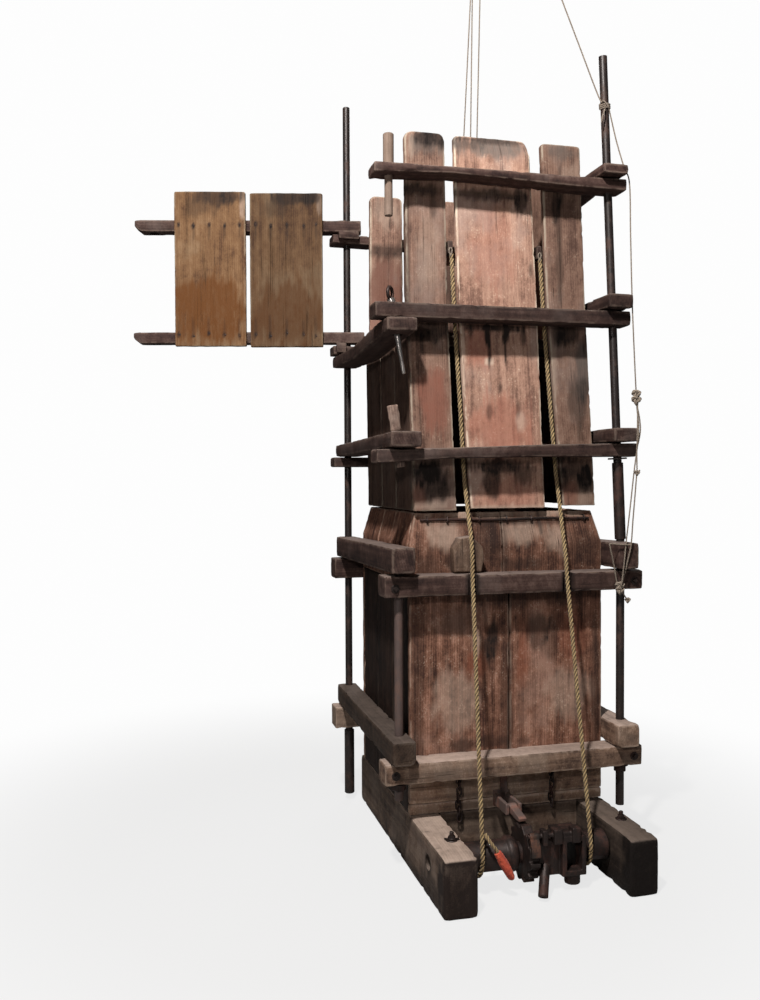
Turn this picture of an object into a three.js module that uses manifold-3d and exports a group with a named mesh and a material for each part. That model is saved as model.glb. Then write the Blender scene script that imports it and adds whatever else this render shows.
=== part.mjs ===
// Box baling press: a tall wooden two-part press box on skids. Stacked rails and corner rods hold the
// boards together. A filling door turns on one rod, a platen slides down inside the upper box, and two
// press ropes pull it from a ratchet windlass between the skids.
// Millimetres, +X to the right, -Y to the front, +Z up. Places are given from the middle of the press
// box at floor level. The last step moves the press so that its origin is the middle of its base.
import * as THREE from 'three';
import { mergeVertices } from 'three/addons/utils/BufferGeometryUtils.js';
import Module from 'manifold-3d';

const wasm = await Module();
wasm.setup();

// Driving dimensions
const GAP = 0.3; // between pieces that touch
const BOARD = 27; // board thickness
const HALF_WIDTH = 370; // press box, to the outside of its boards
const HALF_DEPTH = 361;
const RAIL_FRONT = 455; // from the middle of the box to the outer face of a front or back rail
const ROD_RADIUS = 15;
const ROD_X = 422;
const ROD_Y = 405;
const ROD_KINK_Z = 1157; // above here the right-hand rods lean to the left
const RIGHT_ROD_TOP = { x: 348, z: 2899 };
const REAR_RIGHT_ROD_TOP_Z = 2780;
const LEFT_ROD_TOP_Z = 2957;
const BOX_FOOT_Z = 194; // top of the skids
const COLLAR_FOOT_Z = 1010;
const COLLAR_TOP_Z = 1264;
const PLATEN_Z = 1860; // underside of the platen, fully raised
const PLATEN_HALF_DEPTH = 295; // clears the top of the collar
const YOKE_Z = 2179; // underside of the yoke arms that the press ropes pull down
const SHAFT_Y = -580; // windlass axis
const SHAFT_Z = 120;
const SHAFT_RADIUS = 24;
const BARREL_RADIUS = 50;
const WHEEL_RADIUS = 96;
const ROPE_RADIUS = 8;
const CORD_RADIUS = 2.8;
const DOOR_OPEN_ANGLE = THREE.MathUtils.degToRad(167.1); // from +X to the open door's rails

const MATERIALS = {
  box_boards: finish(0x8a5a46, 0.85, 0),
  door_boards: finish(0x9a7858, 0.85, 0),
  lower_boards: finish(0x5c4234, 0.88, 0),
  rails: finish(0x4a382e, 0.85, 0),
  skids: finish(0x4f4136, 0.9, 0),
  iron: finish(0x3a3230, 0.55, 0.6),
  dowel: finish(0xb09a86, 0.75, 0),
  rope: finish(0xa08c5a, 0.9, 0),
  cord: finish(0x8a8072, 0.9, 0),
};

function finish(color, roughness, metalness) {
  return new THREE.MeshStandardMaterial({ color, roughness, metalness });
}

// A closed solid of rectangular sections along one axis. A station is { at, a: [low, high], b: [low,
// high] }, where a and b are the other two axes in x, y, z order.
function loft(axis, stations) {
  const [along, first, second] = { x: [0, 1, 2], y: [1, 0, 2], z: [2, 0, 1] }[axis];
  const positions = [];
  for (const { at, a, b } of stations) {
    for (const [u, v] of [[a[0], b[0]], [a[1], b[0]], [a[1], b[1]], [a[0], b[1]]]) {
      const point = [0, 0, 0];
      point[along] = at;
      point[first] = u;
      point[second] = v;
      positions.push(...point);
    }
  }
  const index = [0, 2, 1, 0, 3, 2];
  for (let station = 0; station < stations.length - 1; station += 1) {
    for (let corner = 0; corner < 4; corner += 1) {
      const here = 4 * station + corner;
      const next = 4 * station + ((corner + 1) % 4);
      index.push(here, next, next + 4, here, next + 4, here + 4);
    }
  }
  const last = positions.length / 3 - 4;
  index.push(last, last + 1, last + 2, last, last + 2, last + 3);
  if (axis === 'y') index.reverse();
  const geometry = new THREE.BufferGeometry();
  geometry.setAttribute('position', new THREE.Float32BufferAttribute(positions, 3));
  geometry.setIndex(index);
  geometry.computeVertexNormals();
  return geometry;
}

function block(x, y, z) {
  return loft('z', [{ at: z[0], a: x, b: y }, { at: z[1], a: x, b: y }]);
}

// A round bar between two points.
function bar(from, to, radius, { endRadius = radius, sides = 20 } = {}) {
  const start = new THREE.Vector3(...from);
  const end = new THREE.Vector3(...to);
  const direction = end.clone().sub(start);
  const geometry = new THREE.CylinderGeometry(endRadius, radius, direction.length(), sides);
  const turn = new THREE.Quaternion().setFromUnitVectors(
    new THREE.Vector3(0, 1, 0),
    direction.clone().normalize(),
  );
  geometry.applyQuaternion(turn);
  const middle = start.add(end).multiplyScalar(0.5);
  geometry.translate(middle.x, middle.y, middle.z);
  return geometry;
}

// A round rope or cord along a smooth curve through the points.
function cordTube(points, radius, steps, sides = 8) {
  const section = new THREE.Shape();
  for (let side = 0; side < sides; side += 1) {
    const angle = (2 * Math.PI * side) / sides;
    const [u, v] = [radius * Math.cos(angle), radius * Math.sin(angle)];
    if (side === 0) section.moveTo(u, v);
    else section.lineTo(u, v);
  }
  section.closePath();
  const path = new THREE.CatmullRomCurve3(points.map((point) => new THREE.Vector3(...point)), false);
  return new THREE.ExtrudeGeometry(section, { steps, extrudePath: path });
}

// A plate with an outline in the Y-Z plane, between two places along X.
function plateAlongX(outline, x) {
  const shape = new THREE.Shape(outline.map(([y, z]) => new THREE.Vector2(y, z)));
  const geometry = new THREE.ExtrudeGeometry(shape, { depth: x[1] - x[0], bevelEnabled: false });
  geometry.applyMatrix4(new THREE.Matrix4().makeBasis(
    new THREE.Vector3(0, 1, 0),
    new THREE.Vector3(0, 0, 1),
    new THREE.Vector3(1, 0, 0),
  ));
  geometry.translate(x[0], 0, 0);
  return geometry;
}

function toSolid(geometry) {
  const bare = new THREE.BufferGeometry();
  bare.setAttribute('position', geometry.getAttribute('position'));
  bare.setIndex(geometry.index);
  const merged = mergeVertices(bare, 1e-3);
  return new wasm.Manifold(new wasm.Mesh({
    numProp: 3,
    vertProperties: new Float32Array(merged.getAttribute('position').array),
    triVerts: new Uint32Array(merged.index.array),
  }));
}

function toGeometry(solid) {
  const mesh = solid.getMesh();
  const geometry = new THREE.BufferGeometry();
  geometry.setAttribute('position', new THREE.Float32BufferAttribute(mesh.vertProperties, 3));
  geometry.setIndex(Array.from(mesh.triVerts));
  geometry.computeVertexNormals();
  return geometry;
}

function join(first, ...others) {
  return toGeometry(others.reduce((solid, other) => solid.add(toSolid(other)), toSolid(first)));
}

function cut(body, ...tools) {
  return toGeometry(tools.reduce((solid, tool) => solid.subtract(toSolid(tool)), toSolid(body)));
}

const press = new THREE.Group();

function place(name, geometry, material, parent = press) {
  const piece = new THREE.Mesh(geometry, MATERIALS[material]);
  piece.name = name;
  parent.add(piece);
}

// Corner rods and the bores that they need in the rails
const rightRodAt = (z) => ROD_X + ((RIGHT_ROD_TOP.x - ROD_X) * (z - ROD_KINK_Z))
  / (RIGHT_ROD_TOP.z - ROD_KINK_Z);

function rightRod(y, footZ, topZ, radius = ROD_RADIUS, sides = 20) {
  const lower = bar([ROD_X, y, footZ], [ROD_X, y, ROD_KINK_Z], radius, { sides });
  const upper = bar([rightRodAt(1150), y, 1150], [rightRodAt(topZ), y, topZ], radius, { sides });
  return join(lower, upper);
}

function addRods() {
  const foot = { topZ: 305, bottomZ: 29, radius: 21 };
  const rearLeft = join(
    bar([-ROD_X, ROD_Y, foot.bottomZ], [-ROD_X, ROD_Y, foot.topZ], foot.radius),
    bar([-ROD_X, ROD_Y, foot.topZ - 5], [-ROD_X, ROD_Y, LEFT_ROD_TOP_Z], ROD_RADIUS),
  );
  place('rod_rear_left', rearLeft, 'iron');
  place('rod_front_left', bar([-ROD_X, -ROD_Y, 272], [-ROD_X, -ROD_Y, 1152], ROD_RADIUS), 'iron');
  const sleeve = bar([ROD_X, -ROD_Y, 1160], [rightRodAt(1440), -ROD_Y, 1440], 20);
  const washer = bar([rightRodAt(1452), -ROD_Y, 1452], [rightRodAt(1458), -ROD_Y, 1458], 34);
  place('rod_front_right', join(rightRod(-ROD_Y, 181, RIGHT_ROD_TOP.z), sleeve, washer), 'iron');
  place('rod_rear_right', rightRod(ROD_Y, 60, REAR_RIGHT_ROD_TOP_Z), 'iron');
}

const BORE_RADIUS = ROD_RADIUS + 1;
const rodBores = {
  frontLeft: bar([-ROD_X, -ROD_Y, 250], [-ROD_X, -ROD_Y, 1200], BORE_RADIUS, { sides: 16 }),
  rearLeft: bar([-ROD_X, ROD_Y, 308], [-ROD_X, ROD_Y, 3000], BORE_RADIUS, { sides: 16 }),
  frontRight: rightRod(-ROD_Y, 150, RIGHT_ROD_TOP.z, BORE_RADIUS, 16),
  rearRight: rightRod(ROD_Y, 50, RIGHT_ROD_TOP.z, BORE_RADIUS, 16),
};

// Locking pins of the filling door. Each slides up along its own leaning axis.
const PINS = {
  top: { foot: [-452, -408, 2278], head: [-452, -408, 2555], shoulder: 2447.2, shank: 14, grip: 18.5 },
  middle: { foot: [-400, -408, 1744], head: [-445, -408, 2000], shank: 14.5, tip: 6, eyeZ: 2018 },
  bottom: { foot: [-411, -408, 1425], head: [-441, -408, 1637], shoulder: 1547, shank: 15, grip: 19 },
};

function pinPoint({ foot, head }, z) {
  const share = (z - foot[2]) / (head[2] - foot[2]);
  return foot.map((value, axis) => value + share * (head[axis] - value));
}

function pinBore(pin) {
  return bar(pinPoint(pin, pin.foot[2] - 30), pinPoint(pin, pin.head[2] + 30), pin.shank + 1.5, { sides: 14 });
}

function addPins() {
  for (const name of ['top', 'bottom']) {
    const pin = PINS[name];
    const shank = bar(pin.foot, pinPoint(pin, pin.shoulder + 2), pin.shank);
    const grip = bar(pinPoint(pin, pin.shoulder), pin.head, pin.grip);
    place(`pin_${name}`, join(shank, grip), 'dowel');
  }
  const pin = PINS.middle;
  const eye = new THREE.TorusGeometry(20, 6, 10, 20);
  eye.rotateY(THREE.MathUtils.degToRad(90));
  eye.rotateZ(THREE.MathUtils.degToRad(-38));
  eye.translate(pin.head[0] - 3, pin.head[1], pin.eyeZ);
  place('pin_middle', join(bar(pin.foot, pin.head, pin.tip, { endRadius: pin.shank }), eye), 'iron');
}

// Skids, press box and collar
function addSkids() {
  const bore = bar([-400, SHAFT_Y, SHAFT_Z], [400, SHAFT_Y, SHAFT_Z], SHAFT_RADIUS + 2, { sides: 24 });
  const length = [-752, 397];
  const height = [0, 193.5];
  place('skid_left', cut(block([-372, -258], length, height), bore), 'skids');
  place('skid_right', cut(block([272, 376], length, height), bore), 'skids');
}

function addLowerBox() {
  const inside = HALF_DEPTH - BOARD - GAP;
  const height = [BOX_FOOT_Z, COLLAR_FOOT_Z];
  const betweenSkids = [-257.5, 271.5];
  const floor = block([-HALF_WIDTH + BOARD + GAP, HALF_WIDTH - BOARD - GAP], [-inside, inside], [BOX_FOOT_Z, 221]);
  const battens = [[-300, -230], [230, 300]].map((y) => block(betweenSkids, y, [120, BOX_FOOT_Z + 1]));
  place('chamber_floor', join(floor, ...battens), 'lower_boards');
  const front = [-HALF_DEPTH, -HALF_DEPTH + BOARD];
  const boards = block([-HALF_WIDTH, HALF_WIDTH], front, height);
  const apron = block(betweenSkids, front, [140, BOX_FOOT_Z + 1]);
  place('lower_front_panel', join(boards, apron), 'lower_boards');
  place('lower_back_panel', block([-HALF_WIDTH, HALF_WIDTH], [HALF_DEPTH - BOARD, HALF_DEPTH], height), 'lower_boards');
  place('lower_left_panel', block([-HALF_WIDTH, -HALF_WIDTH + BOARD], [-inside, inside], height), 'lower_boards');
  place('lower_right_panel', block([HALF_WIDTH - BOARD, HALF_WIDTH], [-inside, inside], height), 'lower_boards');
}

// The collar's walls stand upright on the lower box, then lean inwards to the foot of the upper box.
function addCollar() {
  const leanIn = 29;
  const bendZ = 1150;
  const ring = (wall, bottomZ, topZ) => {
    const wide = { a: [-HALF_WIDTH + wall, HALF_WIDTH - wall], b: [-HALF_DEPTH + wall, HALF_DEPTH - wall] };
    const narrow = {
      a: [-HALF_WIDTH + wall + leanIn, HALF_WIDTH - wall - leanIn],
      b: [-HALF_DEPTH + wall + leanIn, HALF_DEPTH - wall - leanIn],
    };
    const stations = [{ at: bottomZ, ...wide }, { at: bendZ, ...wide }, { at: COLLAR_TOP_Z, ...narrow }];
    if (topZ > COLLAR_TOP_Z) stations.push({ at: topZ, ...narrow });
    return loft('z', stations);
  };
  place('collar', cut(ring(0, COLLAR_FOOT_Z + GAP, COLLAR_TOP_Z), ring(BOARD, 990, 1290)), 'lower_boards');
}

// Upper box. Its boards taper upwards and lean a little to the left.
function addUpperBox() {
  const front = [-HALF_DEPTH, -HALF_DEPTH + BOARD];
  const boards = {
    left: [[1271, -350, -193], [2000, -375, -225], [2590, -383, -236]],
    middle: [[1277, -141, 146], [2020, -187, 114], [2588, -203, 83]],
    right: [[1284, 215, 345], [2030, 149, 302], [2588, 128, 281]],
  };
  for (const [name, outline] of Object.entries(boards)) {
    const stations = outline.map(([at, left, right]) => ({ at, a: [left, right], b: front }));
    place(`upper_front_board_${name}`, loft('z', stations), 'box_boards');
  }
  const back = [HALF_DEPTH - BOARD, HALF_DEPTH];
  place('upper_back_panel', loft('z', [
    { at: 1272, a: [-345, 345], b: back },
    { at: 2572, a: [-337, 283], b: back },
  ]), 'box_boards');
  const between = [-HALF_DEPTH + BOARD + GAP, HALF_DEPTH - BOARD - GAP];
  place('upper_left_panel', loft('z', [
    { at: 1271, a: [-350, -323], b: between },
    { at: 1935, a: [-358, -331], b: between },
  ]), 'box_boards');
  place('upper_right_panel', loft('z', [
    { at: 1284, a: [318, 345], b: between },
    { at: 2560, a: [255, 282], b: between },
  ]), 'box_boards');
}

// Rails. Front and back rails run along X, side rails along Y.
const FRONT_RAIL_Y = [-RAIL_FRONT, -HALF_DEPTH - GAP];
const BACK_RAIL_Y = [HALF_DEPTH + GAP, RAIL_FRONT];

function railAlongX(y, stations, bores) {
  return cut(loft('x', stations.map(([at, low, high]) => ({ at, a: y, b: [low, high] }))), ...bores);
}

function railAlongY(x, stations, bores) {
  return cut(loft('y', stations.map(([at, low, high]) => ({ at, a: x, b: [low, high] }))), ...bores);
}

function addFrontRails() {
  const { frontLeft, frontRight } = rodBores;
  const grooves = [-167, 187].map((x) => block([x - 18, x + 18], [-470, -441], [900, 1100]));
  const rails = {
    e: [[[-483, 336, 411], [485, 336, 411]], [frontLeft, frontRight]],
    d: [[[-483, 980, 1055], [485, 980, 1050]], [frontLeft, frontRight, ...grooves]],
    c: [[[-508, 1438, 1485], [-250, 1455, 1491], [120, 1461, 1505], [464, 1461, 1510]],
      [frontRight, pinBore(PINS.bottom)]],
    b: [[[-510, 1930, 1982], [435, 1932, 1984]], [frontRight, pinBore(PINS.middle)]],
    a: [[[-512, 2410, 2446], [-241, 2424, 2448], [215, 2412, 2450], [418, 2412, 2454]],
      [frontRight, pinBore(PINS.top)]],
  };
  for (const [level, [stations, bores]] of Object.entries(rails)) {
    place(`rail_${level}_front`, railAlongX(FRONT_RAIL_Y, stations, bores), 'rails');
  }
}

function addBackRails() {
  const rails = {
    e: [[-489, 320, 411], [485, 320, 411]],
    d: [[-489, 961, 1046], [485, 961, 1046]],
    c: [[-489, 1434, 1475], [464, 1434, 1475]],
    b: [[-489, 1908, 1946], [435, 1908, 1946]],
    a: [[-489, 2376, 2414], [418, 2364, 2402]],
  };
  for (const [level, stations] of Object.entries(rails)) {
    const rail = railAlongX(BACK_RAIL_Y, stations, [rodBores.rearLeft, rodBores.rearRight]);
    place(`rail_${level}_back`, rail, 'rails');
  }
}

function addLeftRails() {
  const { frontLeft, rearLeft } = rodBores;
  const rails = {
    e: [[-466, -384], [[-492, 414, 497], [436, 414, 497]], [frontLeft, rearLeft]],
    d: [[-468, -384], [[-492, 1066, 1154], [436, 1050, 1135]], [frontLeft, rearLeft]],
    c: [[-469, -360.5], [[-492, 1492, 1545], [-361, 1490, 1542], [436, 1478, 1528]],
      [rearLeft, pinBore(PINS.bottom)]],
    b: [[-481, -374], [[-492, 1880, 1925], [-340, 1874, 1925], [50, 1848, 1898], [436, 1858, 1904]],
      [rearLeft, pinBore(PINS.middle)]],
  };
  for (const [level, [x, stations, bores]] of Object.entries(rails)) {
    place(`rail_${level}_left`, railAlongY(x, stations, bores), 'rails');
  }
}

function addRightRails() {
  const { frontRight, rearRight } = rodBores;
  const rails = {
    e: [[HALF_WIDTH + GAP, 455], [414, 497], [414, 497]],
    d: [[HALF_WIDTH + GAP, 450], [1058, 1152], [1050, 1135]],
    c: [[352, 452], [1514, 1563], [1480, 1528]],
    b: [[331, 426], [1988, 2037], [1950, 1995]],
    a: [[308, 405], [2458, 2492], [2404, 2440]],
  };
  for (const [level, [x, front, back]] of Object.entries(rails)) {
    const rail = railAlongY(x, [[-490, ...front], [-361, ...front], [436, ...back]], [frontRight, rearRight]);
    place(`rail_${level}_right`, rail, 'rails');
  }
}

// Guide block on the front rail, which holds the left press rope off the collar
function addGuideBlock() {
  const outline = [[-222, 1057], [-122, 1057], [-112, 1100], [-118, 1145], [-160, 1184], [-205, 1178], [-226, 1140]];
  const shape = new THREE.Shape(outline.map(([x, z]) => new THREE.Vector2(x, z)));
  const geometry = new THREE.ExtrudeGeometry(shape, { depth: 50, bevelEnabled: false });
  geometry.rotateX(Math.PI / 2);
  geometry.translate(0, -372, 0);
  place('rope_guide_block', geometry, 'rails');
}

// Filling door, built along +X from its hinge rod and then turned open
function addDoor() {
  const door = new THREE.Group();
  door.position.set(-ROD_X, ROD_Y, 0);
  door.rotation.z = DOOR_OPEN_ANGLE;
  press.add(door);
  const width = [-38, 36];
  const hinge = bar([0, 0, 1900], [0, 0, 2600], ROD_RADIUS + 1.5, { sides: 20 });
  const pinHole = bar([813, 0, 1900], [813, 0, 2600], 19, { sides: 16 });
  const rails = { upper: [[-60, 890], [2426, 2476]], lower: [[-73, 899], [1958, 2006]] };
  for (const [name, [x, z]] of Object.entries(rails)) {
    place(`door_rail_${name}`, cut(block(x, width, z), hinge, pinHole), 'rails', door);
  }
  const thickness = [width[1] + GAP, width[1] + GAP + 25];
  const boards = {
    inner: [[100, 1940, 2575], [405, 1942, 2584]],
    outer: [[422, 1943, 2585], [720, 1946, 2586]],
  };
  for (const [name, outline] of Object.entries(boards)) {
    const stations = outline.map(([at, low, high]) => ({ at, a: thickness, b: [low, high] }));
    place(`door_board_${name}`, loft('x', stations), 'door_boards', door);
  }
}

// The platen hangs on two posts below its yoke: the beam that the lift cords hold, and the two arms that
// reach out through the slots.
function addPlaten() {
  const boardTop = PLATEN_Z + 40;
  const armTop = YOKE_Z + 46;
  const board = block([-318, 255], [-PLATEN_HALF_DEPTH, PLATEN_HALF_DEPTH], [PLATEN_Z, boardTop]);
  const posts = [-210, 128].map((x) => block([x - 22, x + 22], [-40, 40], [boardTop - 1, YOKE_Z + 1]));
  const arms = [-210, 128].map((x) => block([x - 9, x + 9], [-358, 45], [YOKE_Z, armTop]));
  const liftBeam = block([-240, 160], [-40, 40], [armTop - 1, armTop + 60]);
  place('platen', join(board, ...posts, ...arms, liftBeam), 'box_boards');
}

// Windlass
function addDrum() {
  const profile = [
    [0, -366], [SHAFT_RADIUS, -366], [SHAFT_RADIUS, -252], [BARREL_RADIUS, -252], [BARREL_RADIUS, -104],
    [56, -100], [59, -88], [56, -70], [36, -64], [36, -49], [26, -48.5], [26, -11.5],
    [SHAFT_RADIUS, -11], [SHAFT_RADIUS, 168], [BARREL_RADIUS, 168], [BARREL_RADIUS, 262],
    [SHAFT_RADIUS, 262], [SHAFT_RADIUS, 374], [0, 374],
  ];
  const drum = new THREE.LatheGeometry(profile.map(([r, x]) => new THREE.Vector2(r, x)), 28);
  drum.rotateZ(-Math.PI / 2);
  drum.translate(0, SHAFT_Y, SHAFT_Z);
  place('windlass_drum', toGeometry(toSolid(drum)), 'iron');
}

function addRatchetWheel() {
  const teeth = 12;
  const root = 82;
  const outline = [];
  for (let tooth = 0; tooth < teeth; tooth += 1) {
    for (const [share, radius] of [[0, root], [0.1, WHEEL_RADIUS], [0.35, WHEEL_RADIUS], [0.95, root]]) {
      const angle = (2 * Math.PI * (tooth + share)) / teeth;
      outline.push([SHAFT_Y + radius * Math.cos(angle), SHAFT_Z + radius * Math.sin(angle)]);
    }
  }
  const bore = bar([-60, SHAFT_Y, SHAFT_Z], [0, SHAFT_Y, SHAFT_Z], 26.6, { sides: 28 });
  place('ratchet_wheel', cut(plateAlongX(outline, [-48, -12]), bore), 'iron');
}

const DRIVE_PIVOT = { y: -657, z: 200, radius: 8 };

function addLeverSocket() {
  const hub = bar([-6, SHAFT_Y, SHAFT_Z], [72, SHAFT_Y, SHAFT_Z], 62, { sides: 28 });
  const body = block([-6, 72], [-645, SHAFT_Y], [58, 182]);
  const frame = block([71, 158], [-665, -545], [56, 190]);
  const pocket = block([88, 142], [-670, -612], [74, 172]);
  const lugs = [[-2, 16], [38, 68], [104, 134]].map((x) => block(x, [-673, -636], [170, 220]));
  const pin = bar([-52, DRIVE_PIVOT.y, DRIVE_PIVOT.z], [140, DRIVE_PIVOT.y, DRIVE_PIVOT.z], DRIVE_PIVOT.radius);
  const setNut = bar([124, -625, 18], [124, -625, 60], 27, { sides: 12 });
  const tailBar = bar([18, -642, 96], [-16, -700, 15], 17, { sides: 16 });
  const bore = bar([-10, SHAFT_Y, SHAFT_Z], [160, SHAFT_Y, SHAFT_Z], SHAFT_RADIUS + 1, { sides: 28 });
  place('lever_socket', cut(join(hub, body, frame, ...lugs, pin, setNut, tailBar), pocket, bore), 'iron');
}

// The driving pawl curves round the rim of the wheel from its pin.
function addDrivingPawl() {
  const outline = [];
  const [fromAngle, toAngle, steps] = [134, 170, 6];
  const rimPoint = (radius, step) => {
    const angle = THREE.MathUtils.degToRad(fromAngle + ((toAngle - fromAngle) * step) / steps);
    return [SHAFT_Y + radius * Math.cos(angle), SHAFT_Z + radius * Math.sin(angle)];
  };
  for (let step = 0; step <= steps; step += 1) outline.push(rimPoint(118 - 2 * step, step));
  for (let step = steps; step >= 0; step -= 1) outline.push(rimPoint(WHEEL_RADIUS + 1, step));
  const width = [-46, -14];
  const hub = bar([width[0], DRIVE_PIVOT.y, DRIVE_PIVOT.z], [width[1], DRIVE_PIVOT.y, DRIVE_PIVOT.z], 12);
  const bore = bar([-60, DRIVE_PIVOT.y, DRIVE_PIVOT.z], [0, DRIVE_PIVOT.y, DRIVE_PIVOT.z], 8.7);
  place('driving_pawl', cut(join(plateAlongX(outline.reverse(), width), hub), bore), 'iron');
}

const HOLD_PIVOT = { y: -470, z: 232, radius: 8 };

function addHoldingPawl() {
  const arm = [[-470, 220], [-470, 244], [-540, 234], [-568, 229], [-566, 217], [-540, 213]];
  const width = [-44, -16];
  const hub = bar([width[0], HOLD_PIVOT.y, HOLD_PIVOT.z], [width[1], HOLD_PIVOT.y, HOLD_PIVOT.z], 17);
  const bore = bar([-60, HOLD_PIVOT.y, HOLD_PIVOT.z], [0, HOLD_PIVOT.y, HOLD_PIVOT.z], 8.7);
  place('holding_pawl', cut(join(plateAlongX(arm, width), hub), bore), 'iron');
}

function addPawlBracket() {
  const strap = block([-32, -6], [-369, -HALF_DEPTH - GAP], [255, 332]);
  const plate = block([-60, 0], [-369, -HALF_DEPTH - GAP], [205, 262]);
  const ears = [[-60, -47], [-13, 0]].map((x) => block(x, [-488, -365], [213, 251]));
  const pin = bar([-60, HOLD_PIVOT.y, HOLD_PIVOT.z], [0, HOLD_PIVOT.y, HOLD_PIVOT.z], HOLD_PIVOT.radius);
  place('pawl_bracket', join(plate, strap, ...ears, pin), 'iron');
}

// Press ropes: from a platen arm down the slot, out over the front rail and down to the drum
const ROPE_ROUTES = {
  left: [
    [-207, -346, YOKE_Z - 0.5], [-197, -348, 1960], [-178, -350, 1650], [-165, -352, 1420],
    [-166, -392, 1290], [-167, -432, 1186], [-167, -446, 1110], [-168, -452, 1040],
    [-176, -495, 835], [-185, -541, 620], [-194, -588, 400], [-203, -638.6, 160], [-203, -638.6, 120],
  ],
  right: [
    [130, -346, YOKE_Z - 0.5], [144, -348, 1960], [169, -350, 1650], [189, -352, 1420],
    [189, -385, 1300], [188, -418, 1180], [188, -439, 1110], [187, -452, 1040],
    [187, -495, 835], [186, -541, 620], [186, -588, 400], [185, -638.6, 160], [185, -638.6, 120],
  ],
};

function addPressRopes() {
  for (const [side, route] of Object.entries(ROPE_ROUTES)) {
    place(`rope_${side}`, cordTube(route, ROPE_RADIUS, 60, 8), 'rope');
  }
}

// Lift cords, held by a pulley block above, and the tie line, held by a hook above
const LIFT_CORDS = [[-61, -7.5], [-16, -1], [6, 31]]; // X at the platen and X at the block
const LIFT_FOOT_Z = YOKE_Z + 106 + GAP;
const LIFT_TOP_Z = 3285;
const TIE_ROUTE = [
  [175, -405, 3112], [255, -405, 2930], [334, -406, 2750], [341, -424, 2736], [357, -428, 2715],
  [370, -420, 2690], [389, -432, 2590], [411, -447, 2495], [425, -460, 2435], [427, -465, 2250],
  [431, -470, 2020], [437, -478, 1800], [443, -484, 1640], [443, -496, 1572], [440, -496, 1508],
  [427, -495, 1412], [409, -497, 1270], [394, -499, 1160], [385, -500, 1080], [375, -499, 1000],
];

function addCords() {
  LIFT_CORDS.forEach(([footX, topX], index) => {
    const route = [0, 0.5, 1].map((share) => [
      footX + share * (topX - footX), 0, LIFT_FOOT_Z + share * (LIFT_TOP_Z - LIFT_FOOT_Z),
    ]);
    place(`lift_cord_${index + 1}`, cordTube(route, CORD_RADIUS, 14), 'cord');
  });
  const shell = block([-30, 52], [-20, 20], [LIFT_TOP_Z + GAP, 3350]);
  place('lift_block', join(shell, bar([11, 0, 3349], [11, 0, 3385], 8, { sides: 12 })), 'iron');
  place('tie_line', cordTube(TIE_ROUTE, CORD_RADIUS, 80), 'cord');
  place('tie_hook', block([163, 185], [-416, -394], [3116, 3150]), 'iron');
}

const FREE_CORD_PIECES = ['lift_cord_1', 'lift_cord_2', 'lift_cord_3', 'lift_block', 'tie_line', 'tie_hook'];

// Moves the press so that the middle of the base of its bounding box, cords left out, is the origin.
function centreOnBase() {
  press.updateMatrixWorld(true);
  const bounds = new THREE.Box3();
  press.traverse((piece) => {
    if (!piece.isMesh || FREE_CORD_PIECES.includes(piece.name)) return;
    bounds.union(new THREE.Box3().setFromObject(piece, true));
  });
  const middle = bounds.getCenter(new THREE.Vector3());
  press.position.set(-middle.x, -middle.y, -bounds.min.z);
}

addSkids();
addLowerBox();
addCollar();
addUpperBox();
addFrontRails();
addBackRails();
addLeftRails();
addRightRails();
addRods();
addGuideBlock();
addDoor();
addPins();
addPlaten();
addDrum();
addRatchetWheel();
addLeverSocket();
addDrivingPawl();
addPawlBracket();
addHoldingPawl();
addPressRopes();
addCords();
centreOnBase();

const part = new THREE.Group();
part.add(press);
part.updateMatrixWorld(true);

export default part;
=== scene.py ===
"""Looks of the box baling press: weathered boards, sawn rails, rusted iron, laid ropes and a studio light.

The frame is in metres. This script works in millimetres from the middle of the press box at floor level,
+X to the right, -Y to the front and +Z up, and piece() moves what it makes into the frame.
"""
import math
import random

import bpy
import bmesh
import numpy as np
from mathutils import Matrix, Vector, noise
from mathutils.kdtree import KDTree


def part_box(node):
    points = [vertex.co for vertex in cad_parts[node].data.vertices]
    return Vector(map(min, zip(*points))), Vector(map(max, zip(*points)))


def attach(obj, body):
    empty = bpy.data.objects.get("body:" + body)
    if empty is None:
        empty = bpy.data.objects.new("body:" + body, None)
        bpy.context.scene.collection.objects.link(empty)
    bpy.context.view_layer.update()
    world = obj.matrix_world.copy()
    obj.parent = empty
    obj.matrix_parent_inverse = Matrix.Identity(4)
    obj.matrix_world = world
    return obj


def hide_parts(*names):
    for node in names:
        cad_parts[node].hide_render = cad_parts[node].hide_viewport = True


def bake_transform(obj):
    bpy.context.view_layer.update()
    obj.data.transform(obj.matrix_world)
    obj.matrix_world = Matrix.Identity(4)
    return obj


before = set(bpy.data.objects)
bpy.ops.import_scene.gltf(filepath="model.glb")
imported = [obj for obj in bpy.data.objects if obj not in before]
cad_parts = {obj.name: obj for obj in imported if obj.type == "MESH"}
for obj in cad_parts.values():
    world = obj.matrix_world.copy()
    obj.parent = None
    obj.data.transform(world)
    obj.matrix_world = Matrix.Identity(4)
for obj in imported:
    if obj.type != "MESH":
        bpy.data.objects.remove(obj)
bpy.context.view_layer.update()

MM = 0.001

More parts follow.
